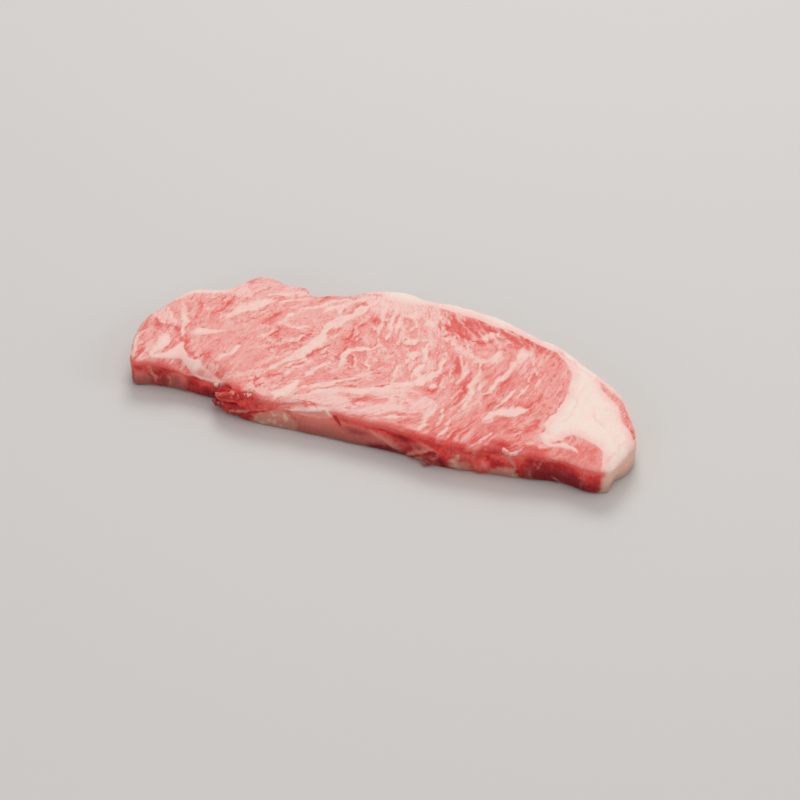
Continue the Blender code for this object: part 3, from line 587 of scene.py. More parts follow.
# The upper face: the same rises and dips as the solid under it, in mm.
face = {
    "broad": (0.55, (34.0, 26.0, 1.0)),
    "lumps": (0.22, (10.0, 13.0, 1.0)),
    # the bundles of fibre lie aslant
    "bundles": (0.16, (3.5, 14.0, 1.0)),
    "aslant": [(0.94, 0.34), (-0.34, 0.94)],
    "shoulder": (1.1, 3.0),
    # torn lumps: along, across, reach both ways and height
    "torn": [(-58, -36, 8, 4, 1.5), (56, -36, 5, 3.5, 0.8), (72, -34.4, 8, 3, 0.6), (30, -38, 9, 3, 0.4)],
    # the slope at the front left and the swelling of the wedge: the line, height and reach
    "ridges": [([(-82, -32), (-69, -32.8)], -3.6, 6.0),
               ([(87.6, 11), (87.6, -4.2), (96.4, -21)], 0.5, 11.0)],
    "veinRise": 0.16,
    "splitDepth": 0.08,
    "fatRise": 0.22,
}

# The walls: how they swell, in mm.
walls = {
    "broad": (0.55, (16.0, 16.0, 11.0)),
    "columns": (0.25, (4.5, 4.5, 18.0)),
    "footLumps": (0.5, (5.0, 5.0, 4.0)),
    # where there is no membrane
    "bare": (0.18, (1.6, 1.6, 3.0)),
    "reach": 2.6,
    # where the lower edge stands out or lies back: along, across, reach both ways and how far
    "foot": [(-19.7, -37.0, 28.0, 10.0, 2.2), (106.5, -26.5, 8.0, 4.6, -2.8),
             (103.5, -33.5, 5.0, 3.0, -1.6)],
    "footReach": 3.0,
    # patches of tone on the hidden walls
    "hiddenTone": (0.35, (9.0, 9.0, 6.0)),
    # above this a place is near the rim
    "midHeight": 8.0,
}


def makeRimCurve(name, solid):
    curve = bpy.data.curves.new(name, "CURVE")
    curve.dimensions = "2D"
    curve.fill_mode = "BOTH" if solid else "NONE"
    curve.resolution_u = slab["outlineSteps"]
    if solid:
        curve.bevel_depth = slab["rimRadius"] * mm
        curve.bevel_resolution = slab["rimSteps"]
        curve.offset = -slab["rimRadius"] * mm
        curve.extrude = (slab["thickness"] / 2 - slab["rimRadius"]) * mm
    spline = curve.splines.new("BEZIER")
    spline.bezier_points.add(len(slab["rim"]) - 1)
    spline.use_cyclic_u = True
    for point, (x, y) in zip(spline.bezier_points, slab["rim"]):
        point.co = (x * slab["length"] * mm, y * slab["width"] * mm, 0.0)
        point.handle_left_type = point.handle_right_type = "AUTO"
    holder = bpy.data.objects.new(name, curve)
    bpy.context.scene.collection.objects.link(holder)
    bpy.context.view_layer.update()
    mesh = meshFrom(holder)
    bpy.data.objects.remove(holder)
    return mesh


def makeBlank():
    # the slab as cut, in even small faces
    mesh = makeRimCurve("rim", True)
    shell = bmesh.new()
    shell.from_mesh(mesh)
    bmesh.ops.remove_doubles(shell, verts=shell.verts, dist=slab["weld"] * mm)
    bmesh.ops.translate(shell, verts=shell.verts, vec=(0, 0, slab["thickness"] / 2 * mm))
    shell.to_mesh(mesh)
    shell.free()
    blank = bpy.data.objects.new("blank", mesh)
    bpy.context.scene.collection.objects.link(blank)
    even = blank.modifiers.new("even", "REMESH")
    even.mode = "VOXEL"
    even.voxel_size = slab["voxel"] * mm
    soft = blank.modifiers.new("soft", "SMOOTH")
    soft.factor = slab["softness"]
    soft.iterations = slab["softenings"]
    made = meshFrom(blank)
    bpy.data.objects.remove(blank)
    return made


def nearestRim(plan):
    # for each point: how far in from the rim it is, and which way is out
    line = verticesOf(makeRimCurve("rimLine", False))[:, :2] / mm
    tree = kdtree.KDTree(len(line))
    for index, place in enumerate(line):
        tree.insert((*place, 0.0), index)
    tree.balance()
    index = np.array([tree.find((*point, 0.0))[1] for point in plan])
    before, after = line[(index - 1) % len(line)], line[(index + 1) % len(line)]
    along = after - before
    along /= np.linalg.norm(along, axis=1)[:, None]
    outward = np.stack([-along[:, 1], along[:, 0]], axis=1)
    inset = np.full(len(plan), 1e9)
    for start, end in ((before, line[index]), (line[index], after)):
        stretch = end - start
        share = np.clip(((plan - start) * stretch).sum(1) / (stretch * stretch).sum(1), 0, 1)
        inset = np.minimum(inset, np.linalg.norm(plan - start - share[:, None] * stretch, axis=1))
    return inset, outward


def readGrid(xs, ys, grid, points):
    fx = np.clip(points[:, 0] - xs[0], 0, len(xs) - 1.001)
    fy = np.clip(points[:, 1] - ys[0], 0, len(ys) - 1.001)
    ix, iy = fx.astype(int), fy.astype(int)
    tx, ty = fx - ix, fy - iy
    return ((grid[iy, ix] * (1 - tx) + grid[iy, ix + 1] * tx) * (1 - ty)
            + (grid[iy + 1, ix] * (1 - tx) + grid[iy + 1, ix + 1] * tx) * ty)


def surfaceOf(p, q):
    # the surface whose slopes are nearest to p and q
    bigP = np.block([[p, -p[:, ::-1]], [p[::-1], -p[::-1, ::-1]]])
    bigQ = np.block([[q, q[:, ::-1]], [-q[::-1], -q[::-1, ::-1]]])
    kx = np.fft.fftfreq(bigP.shape[1]) * 2 * np.pi
    ky = np.fft.fftfreq(bigP.shape[0]) * 2 * np.pi
    kx, ky = np.meshgrid(kx, ky)
    bottom = kx ** 2 + ky ** 2
    bottom[0, 0] = 1.0
    surface = (-1j * kx * np.fft.fft2(bigP) - 1j * ky * np.fft.fft2(bigQ)) / bottom
    surface[0, 0] = 0.0
    return np.real(np.fft.ifft2(surface))[: p.shape[0], : p.shape[1]]


def fibreFields(plan):
    # how far each place lies across the fibres and along them, by way of a 1 mm grid
    xs, ys = np.arange(*fibreGrid["x"]), np.arange(*fibreGrid["y"])
    gridX, gridY = np.meshgrid(xs, ys)
    weightSum, angleSum = np.zeros_like(gridX), np.zeros_like(gridX)
    for x, y, angle in fibres:
        # the second term gives places beyond all reach an angle too
        square = (gridX - x) ** 2 + (gridY - y) ** 2
        weight = np.exp(-square / (2 * fibreReach ** 2)) + 1e-7 / (1.0 + square)
        weightSum += weight
        angleSum += weight * math.radians(angle)
    angle = angleSum / weightSum
    across, along = surfaceOf(np.sin(angle), -np.cos(angle)), surfaceOf(np.cos(angle), np.sin(angle))
    return [readGrid(xs, ys, grid, plan) for grid in (across, along)]


def topFields(points, inset):
    # what is drawn on the upper face
    plan, flat = points[:, :2], points * (1.0, 1.0, 0.0)

    def wander(seed):
        return waves(flat, drift["broad"], seed) + waves(flat, drift["fine"], seed + 1)

    drawn = plan + np.stack([wander(11), wander(13)], axis=1)
    islands = np.maximum(areaField(plan + (drawn - plan) * drift["islands"], fat["islands"]),
                         spotField(drawn, fat["specks"]))
    overRim = points[:, [0, 2]] + [0.0, 1.0] * np.maximum(inset - 1.0, 0.0)[:, None]
    groove = lineField(overRim, frontSide["grooves"])
    groove[points[:, 2] < walls["midHeight"]] = faraway
    return {
        "fat": np.minimum(areaField(plan + (drawn - plan) * drift["fat"], fat["areas"]), -islands),
        "vein": np.maximum(lineField(drawn, veins), spotField(drawn, veinSpots)),
        "split": lineField(drawn, splits),
        "haze": np.minimum(np.minimum(areaField(drawn, fat["softAreas"]), -islands), -groove),
        "tone": toneField(drawn, tones) + 0.45 * smoothStep(-0.8, 0.5, lineField(drawn, creases)),
        "lip": lineField(overRim, frontSide["lips"]),
        "groove": groove,
    }


def sideFields(points, toFront):
    # what is drawn on the walls
    side = points[:, [0, 2]]
    drawn = side + np.stack([waves(points, kind, 15 + index)
                             for index, kind in enumerate(drift["side"])], axis=1)
    lines = side + (drawn - side) * drift["sideLines"]

    def onWalls(field, where, sort):
        return np.where(toFront > 0.5, field(where, frontSide[sort]), field(where, backSide[sort]))

    return {
        "fat": onWalls(areaField, drawn, "fat"),
        "vein": onWalls(lineField, lines, "seams"),
        "split": onWalls(lineField, lines, "splits"),
        "skin": onWalls(areaField, drawn, "skin"),
        "tone": (onWalls(toneField, drawn, "tones")
                 + (1.0 - toFront) * waves(points, walls["hiddenTone"], 17)),
    }


def joinFields(points, inset, toFront, top, side):
    # what the material reads; at the rim the fields of the face go over into those of the walls
    plan, atFront = points[:, :2], toFront > 0.5
    rim = inset - (slab["thickness"] - points[:, 2])
    toSide = smoothStep(0.2, -0.5, rim)
    nothing = np.full(len(points), faraway)
    groove = np.where(atFront, top["groove"], faraway)
    inGroove = smoothStep(-0.6, 0.4, groove)

    def join(above, below):
        return above + (below - above) * toSide

    kept = {name: join(top[name], side[name]) for name in ("fat", "vein", "split")}
    kept["skin"] = np.minimum(join(nothing, side["skin"]), -groove)
    kept["haze"] = join(top["haze"], nothing)
    kept["calm"] = np.minimum(toneField(plan, calmSpots), 1.0) * (1.0 - toSide)
    kept["blush"] = np.interp(points[:, 0], *np.array(rimBlush).T) * toFront
    kept["hidden"] = 1.0 - toFront
    kept["tone"] = join(top["tone"] + 0.4 * inGroove, side["tone"] - 0.8 * inGroove)
    kept["rim"] = rim
    kept["lip"] = np.where(atFront & (points[:, 2] > walls["midHeight"]), top["lip"], faraway)
    kept["fibre"] = np.stack([*fibreFields(plan), points[:, 2]], axis=1)
    kept["place"] = points.copy()
    return kept


def faceRise(points, inset, outward, top, torn):
    # how much higher the upper face is than the blank's
    plan, flat = points[:, :2], points * (1.0, 1.0, 0.0)
    aslant = np.c_[plan @ np.array(face["aslant"]), np.zeros(len(plan))]
    rise = waves(flat, face["broad"], 1) + waves(flat, face["lumps"], 2)
    rise += waves(aslant, face["bundles"], 3) * smoothStep(0.8, -0.8, top["fat"])
    toBack, toEnd = smoothStep(-0.1, 0.5, outward[:, 1]), smoothStep(0.4, 0.9, outward[:, 0])
    drop, reach = face["shoulder"]
    rise -= drop * (1.0 - 0.7 * toBack + toEnd) * np.exp(-inset / reach)
    rise += torn
    for corners, height, reach in face["ridges"]:
        gap, _ = alongLine(plan, np.array(corners, float))
        rise += height * bell(gap, reach)
    rise += face["veinRise"] * smoothStep(-0.8, 0.8, top["vein"])
    rise += face["fatRise"] * smoothStep(-0.7, 0.9, top["fat"])
    rise -= face["splitDepth"] * smoothStep(-0.9, 0.3, top["split"])
    return rise


def wallSwell(points, inset, toFront, level, skin, torn):
    # how far the walls stand out from the blank's
    plan, side = points[:, :2], points[:, [0, 2]]
    swell = waves(points, walls["broad"], 5) + waves(points, walls["columns"], 6)
    swell += smoothStep(3.5, 0.5, points[:, 2]) * waves(points, walls["footLumps"], 7)
    swell += waves(points, walls["bare"], 8) * (skin < 0)
    swell += torn
    for start, end, halfWidth, out in frontSide["relief"]:
        gap, run = alongLine(side, np.array([start, end], float))
        swell += out * toFront * bell(gap, halfWidth) * fadeEnds(run, 0.15, 0.25)
    swell *= bell(inset, walls["reach"]) * smoothStep(0.02, 0.10, level)
    foot = toneField(plan, walls["foot"]) * (1.0 - level) ** 1.5
    return swell + foot * bell(inset, walls["footReach"])


def sculptSlab(mesh):
    # moves the blank's vertices and returns what the material reads, all in mm
    points = verticesOf(mesh) / mm
    inset, outward = nearestRim(points[:, :2])
    level = np.clip(points[:, 2] / slab["thickness"], 0.0, 1.0)
    toFront = smoothStep(0.15, 0.5, -outward[:, 1])
    top, side = topFields(points, inset), sideFields(points, toFront)
    kept = joinFields(points, inset, toFront, top, side)
    lumps = 0.7 * np.abs(ripple(points, 2.6, 31)) + 0.5 * np.abs(ripple(points, 1.3, 32))
    torn = toneField(points[:, :2], face["torn"]) * lumps
    rise = faceRise(points, inset, outward, top, torn)
    swell = wallSwell(points, inset, toFront, level, side["skin"], torn)
    points[:, :2] += outward * swell[:, None]
    points[:, 2] += rise * level ** 3
    points[points[:, 2] < 0.2, 2] = 0.0
    mesh.vertices.foreach_set("co", (points * mm).astype(np.float32).ravel())
    mesh.update()
    return kept


# Torn strands, beads, the curl and scraps, in mm.
trim = {
    "flapTip": (-65.7, -35.7),
    "flapRoot": (-46.6, -35.7),
    "flapBulge": 3.0,
    # reach past the tip, height at the tip and at the root, radius
    "strands": [(-0.8, 1.4, 2.0, 1.5), (2.4, 3.2, 4.4, 1.6), (-1.0, 5.6, 7.6, 1.5),
                (0.6, 8.2, 10.2, 1.4), (-2.2, 10.0, 12.3, 1.2)],
    "strandSteps": 28,
    "rows": 2,
    # each row lies further in, further from the tip and higher than the one before it
    "rowStep": 2.3,
    "rowBack": 1.5,
    "rowRise": 0.4,
    # along, across, height, radius and how fatty from 0 to 1
    "beads": [
        (-67.0, -32.5, 10.2, 0.95, 0.9), (-64.8, -37.6, 9.9, 1.0, 0.6), (-63.3, -37.7, 10.4, 0.9, 0.65),
        (-61.6, -37.7, 11.2, 1.0, 0.5), (-60.0, -38.1, 11.2, 1.0, 0.35), (-57.9, -37.8, 12.8, 1.2, 0.8),
        (-56.6, -38.4, 11.7, 0.9, 0.3), (-54.9, -38.5, 12.4, 1.0, 0.5), (-53.2, -38.2, 12.8, 1.0, 0.2),
        (-52.2, -37.8, 13.6, 0.85, 0.9), (-50.6, -37.6, 13.8, 1.0, 0.95), (-50.0, -35.4, 14.8, 1.1, 0.86),
        (-64.2, -34.8, 9.9, 1.5, 0.0), (-61.8, -35.0, 11.3, 1.5, 0.0), (-59.4, -35.8, 11.9, 1.4, 0.0),
        (-57.2, -35.6, 12.7, 1.3, 0.0), (-55.2, -36.2, 13.1, 1.2, 0.0), (-53.0, -35.8, 13.6, 1.1, 0.0),
        (-48.6, -37.8, 13.2, 1.2, 0.05), (-46.4, -37.6, 13.2, 1.1, 0.05), (-44.6, -37.4, 13.4, 0.9, 0.1),
    ],
    # pale cords on the strands: the places that each runs through, and its radius; how it fills out
    # from its start and to its end, thins on its way, and how lumpy it is
    "cordShape": {"start": (0.1, 6.0), "end": (0.3, 3.0), "thinning": (1.0, 0.0), "lumps": (0.5, 9.0)},
    "cords": [([(-67.6, -35.6, 3.9), (-66, -36.3, 4.5), (-64, -37.0, 4.3), (-62, -37.7, 3.9)], 0.75),
              ([(-61.2, -38.0, 3.2), (-59, -38.6, 3.7), (-56.5, -38.8, 4.4), (-54, -38.7, 4.9),
                (-52, -38.2, 5.3)], 0.85)],
    # the same for the curl of fat on the front rim
    "curlShape": {"start": (0.3, 7.0), "end": (0.25, 2.5), "thinning": (1.15, 0.35),
                  "lumps": (0.6, 13.0)},
    "curl": ([(59.4, -34.2, 14.0), (59.9, -35.2, 14.1), (61.2, -35.7, 13.7), (63.2, -35.8, 13.3),
              (64.8, -35.1, 13.7), (66.0, -34.0, 14.3), (67.0, -32.6, 14.6)], 0.95),
    # along, across and radius
    "scraps": [(28.6, -38.6, 2.4), (26.0, -38.0, 1.6), (44.0, -37.0, 1.6), (49.5, -36.4, 1.8),
               (102.4, -31.0, 1.5), (81.6, -31.4, 0.8), (85.8, -32.0, 0.7),
               (92.0, -32.9, 0.7), (-46.4, -37.9, 1.5), (-50.2, -36.8, 1.3), (-93.4, -30.3, 1.0)],
    # what the material reads on them where nothing else is said
    "plain": {"fat": faraway, "vein": faraway, "split": faraway, "skin": faraway, "haze": faraway,
              "lip": faraway, "blush": 0.8, "calm": 0.3, "hidden": 0.0, "tone": 0.55},
}


def addTube(shell, points, radii, ring=10):
    # a tube through the points, closed and rounded at both ends
    points = np.array(points, float)
    rings = []
    for index, point in enumerate(points):
        along = points[min(index + 1, len(points) - 1)] - points[max(index - 1, 0)]
        along /= np.linalg.norm(along)
        right = np.cross(along, (0.0, 0.0, 1.0))
        right /= np.linalg.norm(right)
        up = np.cross(right, along)
        made = []
        for step in range(ring):
            turn = 2 * math.pi * step / ring
            place = point + radii[index] * (math.cos(turn) * right + math.sin(turn) * up)
            made.append(shell.verts.new(place * mm))
        rings.append(made)
    for low, high in zip(rings[:-1], rings[1:]):
        for step in range(ring):
            shell.faces.new((low[step], low[(step + 1) % ring], high[(step + 1) % ring], high[step]))
    shell.faces.new(rings[0][::-1])
    shell.faces.new(rings[-1])


def addLump(shell, centre, radius, flatness, seed):
    # a small uneven lump
    made = bmesh.ops.create_icosphere(shell, subdivisions=3, radius=1.0)["verts"]
    for vertex in made:
        way = vertex.co.copy()
        size = radius * (1.0 + 0.6 * noise.noise(way * 1.7 + Vector((seed, 0, 0)))
                         + 0.3 * noise.noise(way * 4.1 + Vector((0, seed, 0))))
        vertex.co = Vector(((centre[0] + way.x * size * 1.15) * mm,
                            (centre[1] + way.y * size * 0.95) * mm,
                            (centre[2] + way.z * size * flatness) * mm))


def makeFlap():
    shell = bmesh.new()
    tip, root = np.array(trim["flapTip"]), np.array(trim["flapRoot"])
    count = len(trim["strands"])
    for index in range(trim["rows"] * count):
        row, layer = divmod(index, count)
        reach, tipHeight, rootHeight, radius = trim["strands"][layer]
        reach -= trim["rowBack"] * row
        points, radii = [], []
        for step in range(trim["strandSteps"]):
            run = step / (trim["strandSteps"] - 1)
            wobble = noise.noise(Vector((run * 5.0, index * 3.1, 0.0)))
            x = tip[0] - reach + (root[0] - tip[0] + reach) * run
            y = tip[1] + (root[1] - tip[1]) * run + 0.35 * math.sin(6.0 * run + 1.3 * layer)
            y += trim["rowStep"] * row + 0.4 * wobble
            y -= (trim["flapBulge"] - 0.8 * radius) * math.sin(math.pi * run) ** 0.8
            z = tipHeight + (rootHeight - tipHeight) * run
            z += 0.45 * math.sin(4.0 * run + 1.7 * layer) + trim["rowRise"] * row
            grow = min(1.0, 0.03 + run / 0.14) ** 0.5
            lumpy = 1.0 + 0.5 * noise.noise(Vector((run * 13.0, index * 7.7, 2.0)))
            points.append((x, y, z))
            radii.append(radius * grow * lumpy * 1.02)
        addTube(shell, points, radii)
    return shell


def addCord(shell, corners, radius, shape, seed):
    # an uneven tube through the corners
    points = softLine(corners)
    start, end, thinning, lumps = (shape[name] for name in ("start", "end", "thinning", "lumps"))
    radii = []
    for share in np.linspace(0.0, 1.0, len(points)):
        full = min(1.0, start[0] + start[1] * share, end[0] + end[1] * (1.0 - share))
        uneven = 1.0 + lumps[0] * noise.noise(Vector((share * lumps[1], seed, 0.0)))
        radii.append(radius * full * (thinning[0] - thinning[1] * share) * uneven)
    addTube(shell, points, radii)


def makeCords():
    shell = bmesh.new()
    for corners, radius in trim["cords"]:
        addCord(shell, corners, radius, trim["cordShape"], radius)
    return shell


def makeBeads():
    shell = bmesh.new()
    for index, (x, y, z, radius, _) in enumerate(trim["beads"]):
        addLump(shell, (x, y, z), radius, 0.85, index * 3.3)
    return shell


def makeScraps():
    # the scraps on the lower edge and the curl
    shell = bmesh.new()
    for index, (x, y, radius) in enumerate(trim["scraps"]):
        addLump(shell, (x, y, 0.75 * radius), radius, 0.7, 40.0 + index * 5.1)
    addCord(shell, *trim["curl"], trim["curlShape"], 3.0)
    return shell


def facingUp(shell):
    shell.normal_update()
    return np.array([vertex.normal.z for vertex in shell.verts])


def trimFields(shell, kind):
    # what the material reads on the small pieces
    points = np.array([vertex.co[:] for vertex in shell.verts]) / mm
    kept = {name: np.full(len(points), value) for name, value in trim["plain"].items()}
    kept["rim"] = points[:, 2] - slab["thickness"]
    kept["fibre"] = np.stack([points[:, 2] * 1.6, points[:, 0], points[:, 1]], axis=1)
    kept["place"] = points.copy()
    if kind == "flap":
        # the strands are painted pale on their upper edges and deep red where they turn under, by which
        # way they face: painted highlight and painted shade
        up = facingUp(shell)
        kept["vein"] = 1.7 * ripple(points, (4.0, 1.1, 1.1), 21) + 1.9 * smoothStep(0.15, 0.95, up) - 1.25
        # the painted highlight is stronger towards the tip
        kept["vein"] += 0.08 * (-58.0 - points[:, 0])
        kept["tone"] = 0.6 * ripple(points, (4.0, 1.3, 1.3), 22) - 0.4 * up + 0.12
    elif kind == "cords":
        kept["vein"] = 0.3 + 1.2 * ripple(points, 1.5, 28)
        kept["tone"] = -0.1 + 0.5 * ripple(points, 2.5, 29)
    elif kind == "beads":
        # each bead is as fatty as its row in the list says; it is painted paler where it faces up and
        # redder below: painted highlight and painted shade
        up, centres = facingUp(shell), np.array(trim["beads"])
        nearest = np.linalg.norm(points[:, None] - centres[None, :, :3], axis=2).argmin(axis=1)
        fatty = centres[nearest, 4]
        kept["tone"] = 1.05 - 0.6 * fatty + 0.5 * ripple(points, 1.5, 23) - 0.4 * up
        kept["vein"] = fatty * 2.4 - 2.1 + 0.8 * ripple(points, 1.5, 24) + 0.9 * up
        kept["rim"] = np.full(len(points), -1.0)
        kept["blush"] = 1.8 - 1.2 * fatty
        kept["lip"] = np.where(fatty > 0.85, 0.0, faraway)
    else:
        # the curl, the scraps, and the fat scrap under the end wall
        curl = points[:, 2] > walls["midHeight"]
        kept["fat"] = np.where(curl, 0.2 + 1.6 * ripple(points, 1.3, 27),
                               0.4 + 2.0 * ripple(points, 6.0, 25))
        kept["fat"][points[:, 0] > 99.0] = 3.0
        kept["tone"] = 0.2 + 0.4 * ripple(points, 4.0, 26)
        kept["tone"][curl] += 0.3
        kept["rim"][curl] = 1.0
        kept["blush"][curl] = 0.0
    return kept


def joinPieces(mesh, kept):
    # one mesh of the slab and its small pieces, with what the material reads
    whole = bmesh.new()
    whole.from_mesh(mesh)
    for kind, make in (("flap", makeFlap), ("cords", makeCords), ("beads", makeBeads),
                       ("scraps", makeScraps)):
        shell = make()
        # nothing reaches below the lower face
        for vertex in shell.verts:
            vertex.co.z = max(vertex.co.z, 0.0)
        more = trimFields(shell, kind)
        for name in kept:
            kept[name] = np.concatenate([kept[name], more[name]])
        piece = bpy.data.meshes.new(kind)
        shell.to_mesh(piece)
        shell.free()
        whole.from_mesh(piece)
        bpy.data.meshes.remove(piece)
    whole.to_mesh(mesh)
    whole.free()
    for name, values in kept.items():
        sort = "FLOAT_VECTOR" if values.ndim == 2 else "FLOAT"
        field = "vector" if values.ndim == 2 else "value"
        attribute = mesh.attributes.new(name, sort, "POINT")
        attribute.data.foreach_set(field, values.astype(np.float32).ravel())
    mesh.update()


def sums(operation, swapped=False):
    # how a wire does one kind of sum with a number or another wire
    def make(self, other):
        first, second = (other, self) if swapped else (self, other)
        return self.graph.add("Math", {"operation": operation}, {0: first, 1: second})
    return make


class Wire:
    # a socket that can be used in sums
    __add__, __radd__ = sums("ADD"), sums("ADD", True)
    __sub__, __rsub__ = sums("SUBTRACT"), sums("SUBTRACT", True)
    __mul__, __rmul__ = sums("MULTIPLY"), sums("MULTIPLY", True)
    least, most = sums("MINIMUM"), sums("MAXIMUM")

    def __init__(self, graph, socket):
        self.graph, self.socket = graph, socket

    def __abs__(self):
        return self.graph.add("Math", {"operation": "ABSOLUTE"}, {0: self})

    def step(self, low, high):
        # 0 up to low, 1 from high on, smooth between
        return self.graph.add("MapRange", {"interpolation_type": "SMOOTHSTEP"},
                              {"Value": self, "From Min": low, "From Max": high})

    def blend(self, below, above):
        # a colour: below where this is 0, above where it is 1
        return self.graph.add("Mix", {"data_type": "RGBA"}, {0: self, 6: below, 7: above}, 2)


class Graph:
    def __init__(self, material):
        material.use_nodes = True
        self.tree = material.node_tree
        self.tree.nodes.clear()

    def add(self, kind, settings=None, inputs=None, output=0):
        node = self.tree.nodes.new("ShaderNode" + kind)
        for name, value in (settings or {}).items():
            setattr(node, name, value)
        for name, value in (inputs or {}).items():
            if isinstance(value, Wire):
                self.tree.links.new(value.socket, node.inputs[name])
            else:
                node.inputs[name].default_value = value
        return Wire(self, node.outputs[output]) if len(node.outputs) else None

    def field(self, name, output="Fac"):
        return self.add("Attribute", {"attribute_name": name}, output=output)

    def scaled(self, vector, scale):
        # scale is one number, or one along each axis
        if not isinstance(scale, tuple):
            scale = (scale,) * 3
        return self.add("VectorMath", {"operation": "MULTIPLY"}, {0: vector, 1: scale})

    def noise(self, vector, scale, detail=2.0, roughness=0.5, output=0):
        # about 0.5 on average; scale is lumps per mm
        return self.add("TexNoise", {}, {"Vector": self.scaled(vector, scale), "Scale": 1.0,
                                         "Detail": detail, "Roughness": roughness}, output)

    def wander(self, vector, place, scale, amount):
        # the vector pushed about by noise, up to about half of amount either way
        drifting = self.noise(place, scale, output="Color")
        return self.add("VectorMath", {"operation": "MULTIPLY_ADD"},
                        {0: drifting, 1: (amount,) * 3, 2: vector})


def fromScreen(*channels):
    # a colour as a screen shows it, 0 to 255, as light
    values = [c / 255.0 for c in channels]
    return tuple(v / 12.92 if v <= 0.04045 else ((v + 0.055) / 1.055) ** 2.4 for v in values) + (1.0,)


beef = {
    "leanPale": fromScreen(248, 190, 183),
    "lean": fromScreen(246, 163, 155),
    "leanRed": fromScreen(234, 106, 96),
    "leanDeep": fromScreen(214, 72, 66),
    "thread": fromScreen(232, 94, 84),
    "marbling": fromScreen(249, 210, 201),
    "vein": fromScreen(249, 211, 201),
    "lip": fromScreen(255, 224, 212),
    "fat": fromScreen(251, 229, 218),
    "fatPink": fromScreen(249, 204, 195),
    "haze": fromScreen(249, 205, 197),
    "split": fromScreen(232, 70, 62),
    "splitSide": fromScreen(196, 30, 38),
    "rimRed": fromScreen(232, 62, 58),
    "rimDeep": fromScreen(190, 46, 46),
    "rimPink": fromScreen(246, 140, 130),
    "sidePale": fromScreen(255, 160, 148),
    "sideBright": fromScreen(255, 82, 74),
    "sideLean": fromScreen(214, 40, 42),
    "sideDeep": fromScreen(150, 20, 30),
    "sideFat": fromScreen(230, 156, 137),
    "sideFatPale": fromScreen(252, 206, 182),
    "endFat": fromScreen(246, 198, 176),
    # the membrane's colour at its foot, a darker copy of the one near the rim: painted shade
    "skinShadedLow": fromScreen(200, 112, 100),
    "skinHigh": fromScreen(254, 140, 126),
    "skinPale": fromScreen(255, 180, 168),
    "gristle": fromScreen(226, 138, 124),
    "roughness": 0.46,
    "specular": 0.42,
    "ior": 1.4,
    "subsurface": 0.08,
    "subsurfaceRadius": (1.0, 0.32, 0.2),
    # in mm
    "subsurfaceScale": 1.6,
    "bumpHeight": 0.6,
    "bumpStrength": 0.5,
}


def shades(value, first, *later):
    # a colour that goes over into each later one between the two values given with it
    made = beef[first]
    for low, high, name in later:
        made = value.step(low, high).blend(made, beef[name])
    return made


